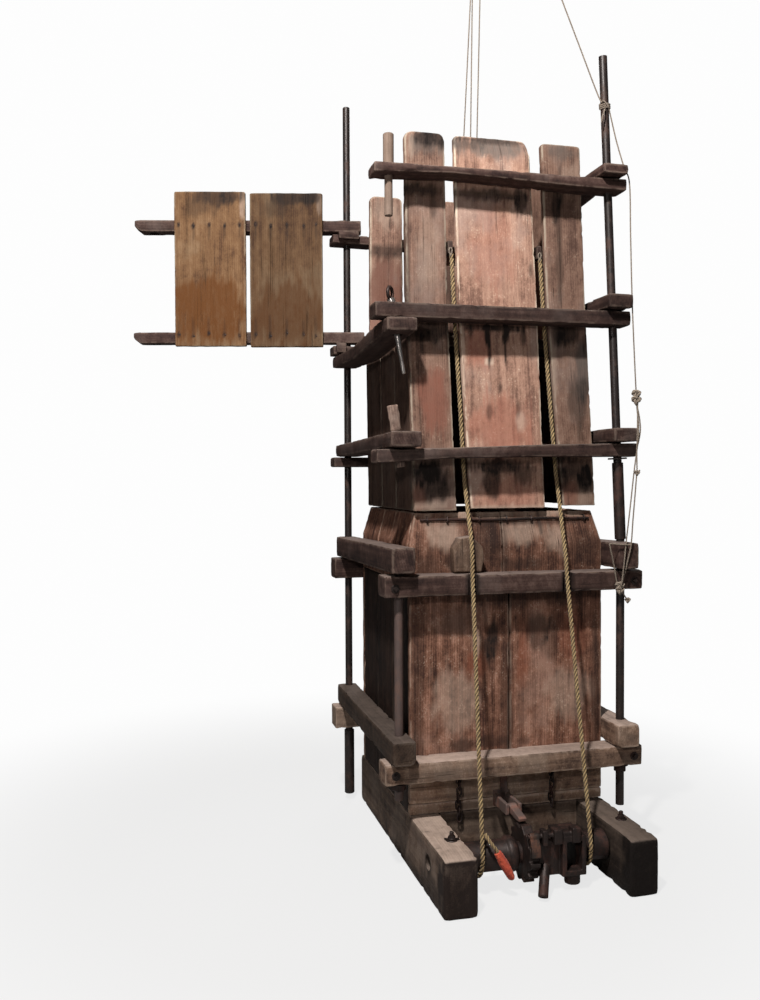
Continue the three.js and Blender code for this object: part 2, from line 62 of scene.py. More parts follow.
# Driving dimensions, as in the CAD
SKIDS = {"left": (-372, -258), "right": (272, 376)}
SKID_ENDS = (-752, 397)
SKID_TOP = 193.5
BOARD = 27
HALF_WIDTH = 370
HALF_DEPTH = 361
RAIL_FRONT = 455
ROD_X = 422
ROD_Y = 405
ROD_RADIUS = 15
ROD_KINK_Z = 1157
RIGHT_ROD_TOP = (348, 2899)
REAR_RIGHT_ROD_TOP_Z = 2780
LEFT_ROD_TOP_Z = 2957
PLATEN_Z = 1860
PLATEN_HALF_DEPTH = 295
YOKE_Z = 2179
SHAFT_Y = -580
SHAFT_Z = 120
ROPE_DIAMETER = 16
CORD_DIAMETER = 5.6
LIFT_TOP_Z = 3285
BLOCK_X = 11
SHEAVE_Z = 3318
HOOK_RING = (174, -405, 3116)
DOOR_OPEN_ANGLE = math.radians(167.1)
DOOR = Matrix.Translation((-ROD_X, ROD_Y, 0)) @ Matrix.Rotation(DOOR_OPEN_ANGLE, 4, "Z")

skid_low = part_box("skid_left")[0]
ORIGIN = Vector((skid_low.x - SKIDS["left"][0] * MM, skid_low.y - SKID_ENDS[0] * MM, 0))


def place(x, y, z):
    """A point of this script's, in the frame's metres."""
    return ORIGIN + MM * Vector((x, y, z))


# Camera

CAMERA_PLACE = (-1257.1, -3458.0, 1393.2)
CAMERA_TURN = (14.180, -1.462, -0.248)  # yaw, pitch and roll in degrees
CAMERA_LENS = 33.16


def look_out():
    """The camera stands in front and to the left, about level with the upper box's foot."""
    yaw, pitch, roll = (math.radians(angle) for angle in CAMERA_TURN)
    forward = Vector((math.sin(yaw) * math.cos(pitch), math.cos(yaw) * math.cos(pitch), math.sin(pitch)))
    level = Vector((math.cos(yaw), -math.sin(yaw), 0))
    upward = level.cross(forward)
    right = math.cos(roll) * level + math.sin(roll) * upward
    up = -math.sin(roll) * level + math.cos(roll) * upward
    data = bpy.data.cameras.new("camera")
    data.sensor_width = 36
    data.lens = CAMERA_LENS
    camera = bpy.data.objects.new("camera", data)
    bpy.context.scene.collection.objects.link(camera)
    turn = Matrix((right, up, -forward)).transposed().to_4x4()
    camera.matrix_world = Matrix.Translation(place(*CAMERA_PLACE)) @ turn
    bpy.context.scene.camera = camera


look_out()


# Shells: closed surfaces, as dictionaries of points, faces and what the materials read at each point

def shell(points, faces, grain=None, wear=None, marks=None, tone=0.0):
    points = np.asarray(points, float).reshape(-1, 3)
    count = len(points)
    return {
        "points": points,
        "faces": [list(face) for face in faces],
        "grain": points * MM if grain is None else np.asarray(grain, float),
        "wear": np.zeros(count) if wear is None else np.asarray(wear, float),
        "marks": np.zeros((count, 4)) if marks is None else np.asarray(marks, float),
        "tone": np.full(count, float(tone)),
    }


def together(shells):
    """Several shells as one."""
    faces = []
    first = 0
    for part in shells:
        faces += [[first + corner for corner in face] for face in part["faces"]]
        first += len(part["points"])
    joined = {key: np.concatenate([part[key] for part in shells])
              for key in ("points", "grain", "wear", "marks", "tone")}
    return {**joined, "faces": faces}


SHARP_ANGLE = 38  # edges that turn more degrees than this stay sharp
# What the materials read at each point: name, kind of attribute, its field and how many numbers it has
LAYERS = (("grain", "FLOAT_VECTOR", "vector", 3), ("wear", "FLOAT", "value", 1),
          ("tone", "FLOAT", "value", 1), ("marks", "FLOAT_COLOR", "color", 4))


def linked(name, data):
    """A new object in the scene."""
    made_object = bpy.data.objects.new(name, data)
    bpy.context.scene.collection.objects.link(made_object)
    return made_object


def mesh_object(name, points, faces):
    """An object of a closed mesh in the frame's metres, with its faces turned outwards."""
    mesh = bpy.data.meshes.new(name)
    mesh.from_pydata((points * MM + np.array(ORIGIN)).tolist(), [], faces)
    turner = bmesh.new()
    turner.from_mesh(mesh)
    bmesh.ops.recalc_face_normals(turner, faces=turner.faces)
    turner.to_mesh(mesh)
    turner.free()
    return linked(name, mesh)


def piece(name, shells, material, body="root", stands_for=(), turn=None, sharp=SHARP_ANGLE):
    """Makes a mesh piece of one or more shells, which rides on a body."""
    made = together(shells) if isinstance(shells, list) else shells
    points = made["points"]
    if turn is not None:
        flat = np.array(turn)
        points = points @ flat[:3, :3].T + flat[:3, 3]
    made_object = mesh_object(name, points, made["faces"])
    for key, kind, field, _ in LAYERS:
        layer = made_object.data.attributes.new(key, kind, "POINT")
        layer.data.foreach_set(field, made[key].astype(np.float32).ravel())
    finish_piece(made_object, material, body, stands_for, sharp)
    return made_object


def finish_piece(made_object, material, body, stands_for, sharp):
    """Gives a piece its material, smooth shading, body and replaced CAD nodes."""
    made_object.data.materials.clear()
    made_object.data.materials.append(material)
    made_object.data.polygons.foreach_set("use_smooth", [True] * len(made_object.data.polygons))
    made_object.data.set_sharp_from_angle(angle=math.radians(sharp))
    if body:
        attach(made_object, body)
    if stands_for:
        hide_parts(*stands_for)


def wobble(x, y, z, seed):
    """Smooth noise at a place, from about -1 to 1."""
    return noise.noise(Vector((x, y, z)) + seed)


def seed_of(name):
    """A far place in the noise, which depends only on the name."""
    draw = random.Random(name)
    return Vector([draw.uniform(-90, 90) for _ in range(3)])


def smooth_step(low, high, value):
    share = min(1.0, max(0.0, (value - low) / (high - low)))
    return share * share * (3 - 2 * share)


MARK_KINDS = ("dark", "warm", "pale", "grey")


def painted(x, z, marks, seed):
    """How strongly each kind of mark shows at a point.

    A mark is (kind, x, z, half width, half height, strength).
    """
    found = [0.0, 0.0, 0.0, 0.0]
    for kind, mark_x, mark_z, half_x, half_z, strength in marks:
        across = (x - mark_x) / half_x
        along = (z - mark_z) / half_z
        if abs(across) > 1.7 or abs(along) > 1.7:
            continue
        ragged = 0.45 * wobble(x * 0.03, 0, z * 0.009, seed) + 0.35 * wobble(x * 0.13, 5, z * 0.02, seed)
        amount = strength * smooth_step(1.2, 0.6, math.hypot(across, along) + ragged)
        channel = MARK_KINDS.index(kind)
        found[channel] = 1 - (1 - found[channel]) * (1 - amount)
    return found


SQUARE = [(-1, -1), (1, -1), (1, 1), (-1, 1)]
SIDES = [(0, -1), (1, 0), (0, 1), (-1, 0)]
CORNER_REACH = 14  # how far from an edge its wear is seen


def section_points(half_a, half_b, spacing):
    """Round a rectangle: (u, v) on it from -1 to 1, the way out (a, b), and the nearness of an edge."""
    points = []
    for index, corner in enumerate(SQUARE):
        before, after = SIDES[index - 1], SIDES[index]
        for share in (0, 0.5, 1):
            way = Vector(before).lerp(Vector(after), share).normalized()
            points.append((corner[0], corner[1], way.x, way.y, 1.0))
        target = SQUARE[(index + 1) % 4]
        length = 2 * (half_a if index % 2 == 0 else half_b)
        inner = max(1, round(length / spacing) - 1)
        for step in range(1, inner + 1):
            share = step / (inner + 1)
            edge = max(0.0, 1 - min(share, 1 - share) * length / CORNER_REACH)
            u, v = (low + share * (high - low) for low, high in zip(corner, target))
            points.append((u, v, *after, edge))
    return np.array(points)


def crown_inset(distance, crown):
    """How far in the outline of a crowned end lies, at a distance from the end."""
    if not crown:
        return 0
    return crown - math.sqrt(max(0, crown ** 2 - (crown - min(distance, crown)) ** 2))


def ring_stops(length, step, rounding, crowns, cap):
    """Places along a plank as (distance, inset, crown inset), closer together where its ends are rounded.

    The first and the last lie in the flat ends, a little inside their edges.
    """
    def from_end(crown):
        stops = [(0.0, rounding + cap)]
        for angle in (0, 30, 60, 90):
            turn = math.radians(angle)
            stops.append((rounding * (1 - math.cos(turn)), rounding * (1 - math.sin(turn))))
        if crown:
            stops += [(rounding + share * (crown - rounding), 0.0) for share in (0.2, 0.4, 0.6, 0.8, 1.0)]
        return [(distance, inset, crown_inset(distance, crown)) for distance, inset in stops]
    start = from_end(crowns[0])
    end = [(length - distance, *insets) for distance, *insets in reversed(from_end(crowns[1]))]
    low, high = start[-1][0], end[0][0]
    count = max(1, round((high - low) / step))
    between = [(low + (high - low) * k / count, 0.0, 0.0) for k in range(1, count)]
    return start + between + end


AXES = {"x": (0, 1, 2), "y": (1, 0, 2), "z": (2, 0, 1)}


def ring_faces(rows, size, closed=False):
    """Faces between rows of points, and one over each end unless the rows close on themselves."""
    faces = []
    for row in range(rows if closed else rows - 1):
        here, there = row * size, (row + 1) % rows * size
        faces += [(here + k, here + (k + 1) % size, there + (k + 1) % size, there + k) for k in range(size)]
    return faces if closed else faces + [range(size), range((rows - 1) * size, rows * size)]


def plank(name, axis, stations, corner=3.5, rounding=3, wear=2.2, mesh_step=(16, 24), crowns=(0, 0), marks=(),
          bow=1.2, tone=None, marks_on=0):
    """A sawn board along an axis with worn edges.

    A station is (at, a low, a high, b low, b high), where a and b are the other two axes in x, y, z order.
    Its marks lie across X, or across Y if marks_on is 1.
    """
    draw = random.Random(name)
    seed = seed_of(name)
    stations = np.array(stations, float)
    if stations[0, 0] > stations[-1, 0]:
        stations = stations[::-1]
    along, first, second = AXES[axis]
    start, length = stations[0, 0], stations[-1, 0] - stations[0, 0]
    middle = stations[len(stations) // 2]
    ring = section_points((middle[2] - middle[1]) / 2, (middle[4] - middle[3]) / 2, mesh_step[0])
    cap = min(9, 0.22 * min(middle[2] - middle[1], middle[4] - middle[3]))
    stops = ring_stops(length, mesh_step[1], rounding, crowns, cap)
    tone = draw.uniform(-0.3, 0.3) if tone is None else tone
    pith = (draw.uniform(-60, 60), draw.choice((-1, 1)) * draw.uniform(70, 130))
    bows = [draw.uniform(-bow, bow), draw.uniform(-bow, bow)]
    points, grain, worn, spots = [], [], [], []
    for distance, inset, crown in stops:
        at = start + distance
        a_low, a_high, b_low, b_high = (np.interp(at, stations[:, 0], stations[:, k]) for k in (1, 2, 3, 4))
        sag = math.sin(math.pi * distance / length)
        centre_a, centre_b = (a_low + a_high) / 2 + bows[0] * sag, (b_low + b_high) / 2 + 0.4 * bows[1] * sag
        half_a, half_b = (a_high - a_low) / 2 - inset - crown, (b_high - b_low) / 2 - inset
        radius = max(0.8, corner - 0.7 * inset)
        end_near = max(0.0, 1 - min(distance, length - distance) / CORNER_REACH)
        for u, v, out_a, out_b, edge in ring:
            broad = wobble(at * 0.012, u * 1.3, v * 1.3, seed)
            chip = max(0.0, wobble(at * 0.045, u * 2.1, v * 2.1, seed) - 0.18)
            dent = edge * wear * (0.35 + 3.2 * chip) - 0.45 * broad
            a = centre_a + u * (half_a - radius) + out_a * (radius - dent)
            b = centre_b + v * (half_b - radius) + out_b * (radius - dent)
            saw = 1.3 * wobble(a * 0.03, b * 0.05, at, seed) if inset else 0
            spot = [0.0, 0.0, 0.0]
            spot[along], spot[first], spot[second] = at + saw, a, b
            points.append(spot)
            grain.append(((a - centre_a + pith[0]) * MM + seed.x * 0.01, (b - centre_b + pith[1]) * MM,
                          at * MM + seed.z))
            worn.append(max(edge, end_near) if inset <= rounding else 0.3)
            spots.append(painted(spot[marks_on], spot[2], marks, seed))
    return shell(points, ring_faces(len(stops), len(ring)), grain, worn, spots, tone)


def direction_frame(way):
    """Two directions square to a way and to each other."""
    way = Vector(way).normalized()
    side = way.cross(Vector((0, 0, 1)) if abs(way.z) < 0.9 else Vector((0, 1, 0))).normalized()
    return side, way.cross(side)


def turned(start, end, profile, sides=36, rough=0.0, name="turned"):
    """A round form that points from start towards end. Its profile is (mm along the way, radius)."""
    start, end = Vector(start), Vector(end)
    way = (end - start).normalized()
    side, other = direction_frame(way)
    seed = seed_of(name)
    points, grain = [], []
    for distance, radius in profile:
        for step in range(sides):
            angle = 2 * math.pi * step / sides
            bump = rough * wobble(distance * 0.05, 2.2 * math.cos(angle), 2.2 * math.sin(angle), seed)
            out = (radius + bump) * (math.cos(angle) * side + math.sin(angle) * other)
            points.append(start + distance * way + out)
            grain.append(((out.x + 40) * MM, (out.y + out.z) * MM, distance * MM + seed.z))
    return shell(points, ring_faces(len(profile), sides), grain)


def bar(start, end, radius, end_radius=None, chamfer=1.5, step=60, **more):
    """A round bar with broken edges at both ends."""
    end_radius = radius if end_radius is None else end_radius
    length = (Vector(end) - Vector(start)).length
    count = max(1, round((length - 2 * chamfer) / step))
    profile = [(0, radius - chamfer)]
    for k in range(count + 1):
        share = k / count
        profile.append((chamfer + share * (length - 2 * chamfer), radius + share * (end_radius - radius)))
    profile.append((length, end_radius - chamfer))
    return turned(start, end, profile, **more)


def smooth_route(points, spacing):
    """Points a set distance apart along a Catmull-Rom curve through the given ones."""
    route = [Vector(p) for p in points]
    fine = []
    for index in range(len(route) - 1):
        p1, p2 = route[index], route[index + 1]
        p0 = route[index - 1] if index else 2 * p1 - p2
        p3 = route[index + 2] if index + 2 < len(route) else 2 * p2 - p1
        steps = max(4, int((p2 - p1).length / 4))
        for step in range(steps):
            t = step / steps
            fine.append(0.5 * (2 * p1 + (p2 - p0) * t + (2 * p0 - 5 * p1 + 4 * p2 - p3) * t ** 2
                               + (3 * p1 - p0 - 3 * p2 + p3) * t ** 3))
    fine.append(route[-1])
    fine = np.array(fine)
    travelled = np.concatenate([[0], np.cumsum(np.linalg.norm(np.diff(fine, axis=0), axis=1))])
    count = max(2, round(travelled[-1] / spacing))
    wanted = np.linspace(0, travelled[-1], count + 1)
    even = np.stack([np.interp(wanted, travelled, fine[:, k]) for k in range(3)], axis=1)
    return [Vector(p) for p in even], travelled[-1]


def swept(route, section, twist=0.0, closed=False):
    """A section (angle, radius, edge) carried along a route without turning, but for an even twist per mm."""
    count = len(route)
    points, grain, wear = [], [], []
    side = direction_frame(route[1] - route[0])[0]
    travelled = 0.0
    for index, centre in enumerate(route):
        if closed:
            way = (route[(index + 1) % count] - route[index - 1]).normalized()
        else:
            way = (route[min(index + 1, count - 1)] - route[max(index - 1, 0)]).normalized()
        side = (side - side.dot(way) * way).normalized()
        other = way.cross(side)
        if index:
            travelled += (centre - route[index - 1]).length
        for angle, radius, edge in section:
            turn = angle + twist * travelled
            points.append(centre + radius * (math.cos(turn) * side + math.sin(turn) * other))
            grain.append((math.cos(angle) * 0.01, math.sin(angle) * 0.01, travelled * MM))
            wear.append(edge)
    return shell(points, ring_faces(count, len(section), closed), grain, wear)


def rod_along(points, spacing, radius, sides=12):
    """A bent round rod through the points."""
    return swept(smooth_route(points, spacing)[0], round_section(radius, sides))


def round_section(radius, sides=12):
    return [(2 * math.pi * k / sides, radius, 0.0) for k in range(sides)]


def strand_section(radius, per_strand=6):
    """The outline of three strands, with its hollows marked as 1."""
    section = []
    away, strand = 0.536 * radius, 0.464 * radius
    for k in range(3 * per_strand):
        angle = 2 * math.pi * k / (3 * per_strand)
        off = (angle + math.pi / 3) % (2 * math.pi / 3) - math.pi / 3
        inner = max(0.0, strand ** 2 - (away * math.sin(off)) ** 2)
        out = max(away * math.cos(off) + math.sqrt(inner), 0.66 * radius)
        section.append((angle, out, 1 - (out / radius - 0.66) / 0.34))
    return section


def laid(points, diameter, per_strand=6):
    """A three-strand rope through the points. Returns its shell, its route and its length in mm."""
    lay = 3.1 * diameter
    route, length = smooth_route(points, lay / 9)
    return swept(route, strand_section(diameter / 2, per_strand), 2 * math.pi / lay), route, length


def plate(outline, across, depth, edge=1.2, tone=0.0):
    """An extruded outline with small chamfers. The outline is in the two axes other than across."""
    along, first, second = AXES[across]
    outline = [Vector(p) for p in outline]
    middle = sum(outline, Vector((0, 0))) / len(outline)
    points = []
    low, high = depth
    for at, shrink in ((low, edge), (low + edge, 0), (high - edge, 0), (high, edge)):
        for corner in outline:
            inward = (middle - corner).normalized() * shrink
            spot = [0.0, 0.0, 0.0]
            spot[along], spot[first], spot[second] = at, corner.x + inward.x, corner.y + inward.y
            points.append(spot)
    return shell(points, ring_faces(4, len(outline)), tone=tone)


def nut(centre, way, across=24, height=14, sides=6):
    """A nut or bolt head: a low prism with chamfered corners."""
    centre, way = Vector(centre), Vector(way).normalized()
    radius = across / 1.8
    profile = [(0, radius), (height - 3, radius), (height, radius * 0.86)]
    return turned(centre, centre + way * height, profile, sides=sides)


def nail_head(centre, way, radius=3.6):
    """A low domed head."""
    centre, way = Vector(centre), Vector(way).normalized()
    profile = [(-1, radius), (0.6, radius), (1.6, radius * 0.6), (2, radius * 0.15)]
    return turned(centre, centre + way, profile, sides=10)


CUT_WEAR = 0.4
# painted shade: the tone added to fresh faces inside a cut darkens them, as they lie in the dark
CUT_SHADE_TONE = -2.5  # fresh faces inside a cut lie in the dark


def bored(target, holes, box_cuts=()):
    """Cuts round holes (start, end, radius) and boxes (low, high) out of a piece."""
    cutters = [turned(a, b, [(0, r), ((Vector(b) - Vector(a)).length, r)], sides=28) for a, b, r in holes]
    for low, high in box_cuts:
        outline = [(low[0], low[1]), (high[0], low[1]), (high[0], high[1]), (low[0], high[1])]
        points = [(x, y, z) for z in (low[2], high[2]) for x, y in outline]
        faces = [(0, 1, 2, 3), (4, 5, 6, 7)] + [(k, (k + 1) % 4, (k + 1) % 4 + 4, k + 4) for k in range(4)]
        cutters.append(shell(points, faces))
    whole = target.data
    for cutter in cutters:
        tool = mesh_object("cutter", cutter["points"], cutter["faces"])
        cut = target.modifiers.new("cut", "BOOLEAN")
        cut.object = tool
        cut.operation = "DIFFERENCE"
        cut.solver = "EXACT"
        apply_modifiers(target)
        bpy.data.objects.remove(tool)
    give_back_layers(target.data, whole)
    target.data.set_sharp_from_angle(angle=math.radians(SHARP_ANGLE))


def numbers_of(items, field, width):
    """One field of many items, as rows of numbers."""
    values = np.empty(len(items) * width)
    items.foreach_get(field, values)
    return values.reshape(-1, width)


def give_back_layers(cut, whole):
    """Gives a cut mesh what the materials read. The grain runs on across its new faces, which are darkened as
    painted shade.
    """
    old_spots, new_spots = numbers_of(whole.vertices, "co", 3), numbers_of(cut.vertices, "co", 3)
    near = KDTree(len(old_spots))
    for index, spot in enumerate(old_spots):
        near.insert(spot, index)
    near.balance()
    found = [near.find(spot) for spot in new_spots]
    nearest = np.array([index for _, index, _ in found])
    fresh = np.array([distance for _, _, distance in found]) > 0.05 * MM
    for key, _, field, width in LAYERS:
        old = numbers_of(whole.attributes[key].data, field, width)
        new = old[nearest]
        if key == "grain":
            slopes = np.linalg.lstsq(np.c_[old_spots, np.ones(len(old_spots))], old, rcond=None)[0]
            new[fresh] = np.c_[new_spots, np.ones(len(new_spots))][fresh] @ slopes
        if key == "wear":
            new[fresh] = CUT_WEAR
        # painted shade: fresh faces inside a cut are made darker
        if key == "tone":
            new[fresh] += CUT_SHADE_TONE
        cut.attributes[key].data.foreach_set(field, new.ravel())


def apply_modifiers(target):
    """Gives an object the mesh that its modifiers make, and drops them."""
    bpy.context.view_layer.update()
    graph = bpy.context.evaluated_depsgraph_get()
    done = bpy.data.meshes.new_from_object(target.evaluated_get(graph), preserve_all_data_layers=True,
                                           depsgraph=graph)
    target.modifiers.clear()
    target.data = done


def cast(name, node, voxel, material, body):
    """A casting with soft edges and a slightly uneven skin, made from a CAD node's own shape."""
    copy = linked(name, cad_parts[node].data.copy())
    remesh = copy.modifiers.new("remesh", "REMESH")
    remesh.mode = "VOXEL"
    remesh.voxel_size = voxel * MM
    smooth = copy.modifiers.new("smooth", "SMOOTH")
    smooth.iterations = 3
    apply_modifiers(copy)
    seed = seed_of(name)
    count = len(copy.data.vertices)
    spots, normals = np.empty(3 * count), np.empty(3 * count)
    copy.data.vertices.foreach_get("co", spots)
    copy.data.vertex_normals.foreach_get("vector", normals)
    for index, spot in enumerate(spots.reshape(-1, 3) / MM):
        bump = 0.35 * MM * wobble(spot[0] * 0.08, spot[1] * 0.08, spot[2] * 0.08, seed)
        spots[3 * index:3 * index + 3] += bump * normals[3 * index:3 * index + 3]
    copy.data.vertices.foreach_set("co", spots)
    finish_piece(copy, material, body, (node,), 60)


# Materials

def add_node(tree, kind, inputs=None, **settings):
    """Adds a shader node. Its inputs are sockets or plain values."""
    made = tree.nodes.new("ShaderNode" + kind)
    for key, value in settings.items():
        setattr(made, key, value)
    for key, value in (inputs or {}).items():
        if isinstance(value, bpy.types.NodeSocket):
            tree.links.new(value, made.inputs[key])
        else:
            made.inputs[key].default_value = value
    return made


def mix(tree, factor, a, b):
    """Colour a, or colour b where the factor is 1."""
    made = tree.nodes.new("ShaderNodeMix")
    made.data_type = "RGBA"
    for socket, value in ((0, factor), (6, a), (7, b)):
        if isinstance(value, bpy.types.NodeSocket):
            tree.links.new(value, made.inputs[socket])
        else:
            made.inputs[socket].default_value = value if socket == 0 else (*value, 1)
    return made.outputs[2]


def maths(tree, operation, a, b=0.0, c=0.5, clamp=False):
    return add_node(tree, "Math", {0: a, 1: b, 2: c}, operation=operation, use_clamp=clamp).outputs[0]


def step_up(tree, value, low, high):
    """0 below low and 1 above high, with a smooth step between. It falls if low is above high."""
    turned_over = low > high
    made = add_node(tree, "MapRange", {0: value, 1: min(low, high), 2: max(low, high),
                                       3: float(turned_over), 4: float(not turned_over)},
                    interpolation_type="SMOOTHSTEP")
    return made.outputs[0]


def stretched_noise(tree, vector, scale, detail=3.0, roughness=0.55):
    """Noise with its own number of waves per metre along each axis."""
    moved = add_node(tree, "VectorMath", {0: vector, 1: scale}, operation="MULTIPLY").outputs[0]
    return add_node(tree, "TexNoise", {"Vector": moved, "Scale": 1.0, "Detail": detail,
                                       "Roughness": roughness}).outputs["Fac"]


def attribute(tree, name, output="Fac"):
    return add_node(tree, "Attribute", attribute_name=name).outputs[output]


def cleared_tree(owner):
    """The empty node tree of a material or a world."""
    owner.use_nodes = True
    owner.node_tree.nodes.clear()
    return owner.node_tree


def blank_material(name):
    """A material with one Principled shader: the material, its tree and the shader."""
    material = bpy.data.materials.new(name)
    tree = cleared_tree(material)
    output = tree.nodes.new("ShaderNodeOutputMaterial")
    shader = tree.nodes.new("ShaderNodeBsdfPrincipled")
    tree.links.new(shader.outputs[0], output.inputs[0])
    return material, tree, shader


def add_bump(tree, shader, height, strength, distance):
    bump = add_node(tree, "Bump", {"Height": height, "Strength": strength, "Distance": distance})
    tree.links.new(bump.outputs[0], shader.inputs["Normal"])


RING_WIDTH = 0.009
# mark colours: the dark and pale ones serve stains and also painted shade and painted light
DARK_STAIN_AND_SHADE = (0.018, 0.011, 0.009)
PALE_STAIN_AND_LIGHT = (0.50, 0.37, 0.29)
GREY_STAIN = (0.15, 0.125, 0.11)
CHECK_BLACK = (0.012, 0.008, 0.006)


def wood(name, pale, mid, deep, grey=(0.20, 0.165, 0.14), greyness=0.35, dust=0.0,
         dust_colour=(0.30, 0.235, 0.195), relief=0.7, contrast=1.0, flecks=0.0, worn_edge=0.5,
         edge_colour=(0.50, 0.40, 0.31), warm=(0.24, 0.075, 0.04)):
    """Old sawn wood: growth rings, fibres, checks, greyed patches, painted marks, rubbed edges and dust. The
    dark, pale and warm marks are stains, and in places painted shade, painted shadow and painted light.
    """
    material, tree, shader = blank_material(name)
    grain = attribute(tree, "grain", "Vector")
    object_place = add_node(tree, "TexCoord").outputs["Object"]
    broad = stretched_noise(tree, grain, (34, 34, 1.1), 4)
    fine = stretched_noise(tree, grain, (240, 240, 9), 4, 0.6)
    hair = stretched_noise(tree, grain, (1100, 1100, 40), 3)
    patch = stretched_noise(tree, object_place, (3.4, 3.4, 2.4), 5, 0.62)
    mottle = stretched_noise(tree, object_place, (34, 34, 24), 6, 0.7)
    speckle = stretched_noise(tree, object_place, (190, 190, 150), 3, 0.6)
    split = add_node(tree, "SeparateXYZ", {0: grain})
    radius_squared = maths(tree, "ADD", maths(tree, "MULTIPLY", split.outputs[0], split.outputs[0]),
                           maths(tree, "MULTIPLY", split.outputs[1], split.outputs[1]))
    waver = maths(tree, "MULTIPLY", stretched_noise(tree, grain, (7, 7, 1.6), 2), 0.035)
    ring_place = maths(tree, "ADD", maths(tree, "SQRT", radius_squared), waver)
    rings = maths(tree, "SINE", maths(tree, "MULTIPLY", ring_place, 2 * math.pi / RING_WIDTH))

    parts = ((broad, 0.7), (fine, 0.3), (mottle, 0.72), (patch, 0.9), (speckle, 0.3))
    shade = maths(tree, "MULTIPLY", rings, 0.035 * contrast)
    for value, share in parts:
        shade = maths(tree, "ADD", shade, maths(tree, "MULTIPLY", value, share * contrast))
    centre = 0.5 * sum(share for _, share in parts) * contrast
    shade = step_up(tree, shade, centre - 0.4, centre + 0.4)
    colour = mix(tree, step_up(tree, shade, 0.0, 0.55), deep, mid)
    colour = mix(tree, step_up(tree, shade, 0.45, 1.0), colour, pale)
    greyed = maths(tree, "MULTIPLY", step_up(tree, patch, 0.5, 0.62), greyness)
    colour = mix(tree, greyed, colour, grey)
    if flecks:
        flaked = maths(tree, "MULTIPLY", step_up(tree, speckle, 0.56, 0.64),
                       step_up(tree, mottle, 0.5, 0.62))
        colour = mix(tree, maths(tree, "MULTIPLY", flaked, flecks), colour, edge_colour)

    rubbed = maths(tree, "MULTIPLY", step_up(tree, attribute(tree, "wear"), 0.55, 1.0),
                   step_up(tree, stretched_noise(tree, object_place, (22, 22, 9), 5, 0.65), 0.4, 0.55))
    colour = mix(tree, maths(tree, "MULTIPLY", rubbed, worn_edge), colour, edge_colour)
    marks = add_node(tree, "Attribute", attribute_name="marks").outputs
    kinds = [*add_node(tree, "SeparateColor", {0: marks["Color"]}).outputs, marks["Alpha"]]
    streaked = maths(tree, "ADD", maths(tree, "MULTIPLY", fine, 0.5), maths(tree, "MULTIPLY", mottle, 1.1))
    # the marks lay stains and, where the mark tables say so, painted shade, painted shadow and painted light
    for kind, target in ((1, warm), (2, PALE_STAIN_AND_LIGHT), (3, GREY_STAIN), (0, DARK_STAIN_AND_SHADE)):
        amount = maths(tree, "MULTIPLY", kinds[kind], streaked)
        amount = maths(tree, "MULTIPLY", amount, 1.35, clamp=True)
        colour = mix(tree, amount, colour, target)

    check = maths(tree, "SUBTRACT", stretched_noise(tree, grain, (90, 90, 0.9), 2), 0.5)
    check = maths(tree, "ABSOLUTE", check)
    check = maths(tree, "MULTIPLY", step_up(tree, check, 0.010, 0.002),
                  step_up(tree, stretched_noise(tree, grain, (20, 20, 2.2), 2), 0.52, 0.64))
    colour = mix(tree, maths(tree, "MULTIPLY", check, 0.8), colour, CHECK_BLACK)
    if dust:
        facing = add_node(tree, "NewGeometry").outputs["Normal"]
        upward = add_node(tree, "SeparateXYZ", {0: facing}).outputs[2]
        settled = maths(tree, "MULTIPLY", step_up(tree, upward, 0.35, 0.9), step_up(tree, mottle, 0.2, 0.42))
        thin, thick = (tuple(strength * part for part in dust_colour) for strength in (0.6, 1.15))
        uneven = mix(tree, shade, thin, thick)
        colour = mix(tree, maths(tree, "MULTIPLY", settled, dust), colour, uneven)
    brightness = maths(tree, "POWER", 2.0, maths(tree, "MULTIPLY", attribute(tree, "tone"), 0.6))
    colour = add_node(tree, "VectorMath", {0: colour, 3: brightness}, operation="SCALE").outputs[0]
    tree.links.new(colour, shader.inputs["Base Color"])

    height = maths(tree, "MULTIPLY", fine, 0.6)
    for value, share in ((hair, 0.3), (mottle, 0.8), (speckle, 0.35), (check, -1.2)):
        height = maths(tree, "ADD", height, maths(tree, "MULTIPLY", value, share))
    add_bump(tree, shader, height, relief, 0.0018)
    tree.links.new(maths(tree, "MULTIPLY_ADD", fine, 0.25, 0.62), shader.inputs["Roughness"])
    shader.inputs["Specular IOR Level"].default_value = 0.22
    return material


def iron(name, dark, rust, rustiness=0.5, metallic=0.55, roughness=0.5, pitting=0.6):
    """Old iron: dark scale with rust in patches and fine pits."""
    material, tree, shader = blank_material(name)
    where = add_node(tree, "TexCoord").outputs["Object"]
    patch = stretched_noise(tree, where, (19, 19, 13), 6, 0.65)
    speckle = stretched_noise(tree, where, (240, 240, 240), 4, 0.6)
    rusted = maths(tree, "ADD", patch, maths(tree, "MULTIPLY", speckle, 0.35))
    rusted = step_up(tree, rusted, 0.78 - 0.3 * rustiness, 1.0 - 0.3 * rustiness)
    colour = mix(tree, rusted, dark, rust)
    fleck = step_up(tree, speckle, 0.6, 0.75)
    scuffed = tuple(2.2 * part + 0.01 for part in dark)
    colour = mix(tree, maths(tree, "MULTIPLY", fleck, 0.35), colour, scuffed)
    tree.links.new(colour, shader.inputs["Base Color"])
    tree.links.new(maths(tree, "MULTIPLY_ADD", rusted, 0.3, roughness), shader.inputs["Roughness"])
    shader.inputs["Metallic"].default_value = metallic
    height = maths(tree, "ADD", maths(tree, "MULTIPLY", speckle, 0.6), maths(tree, "MULTIPLY", patch, 0.8))
    add_bump(tree, shader, height, pitting, 0.0012)
    return material


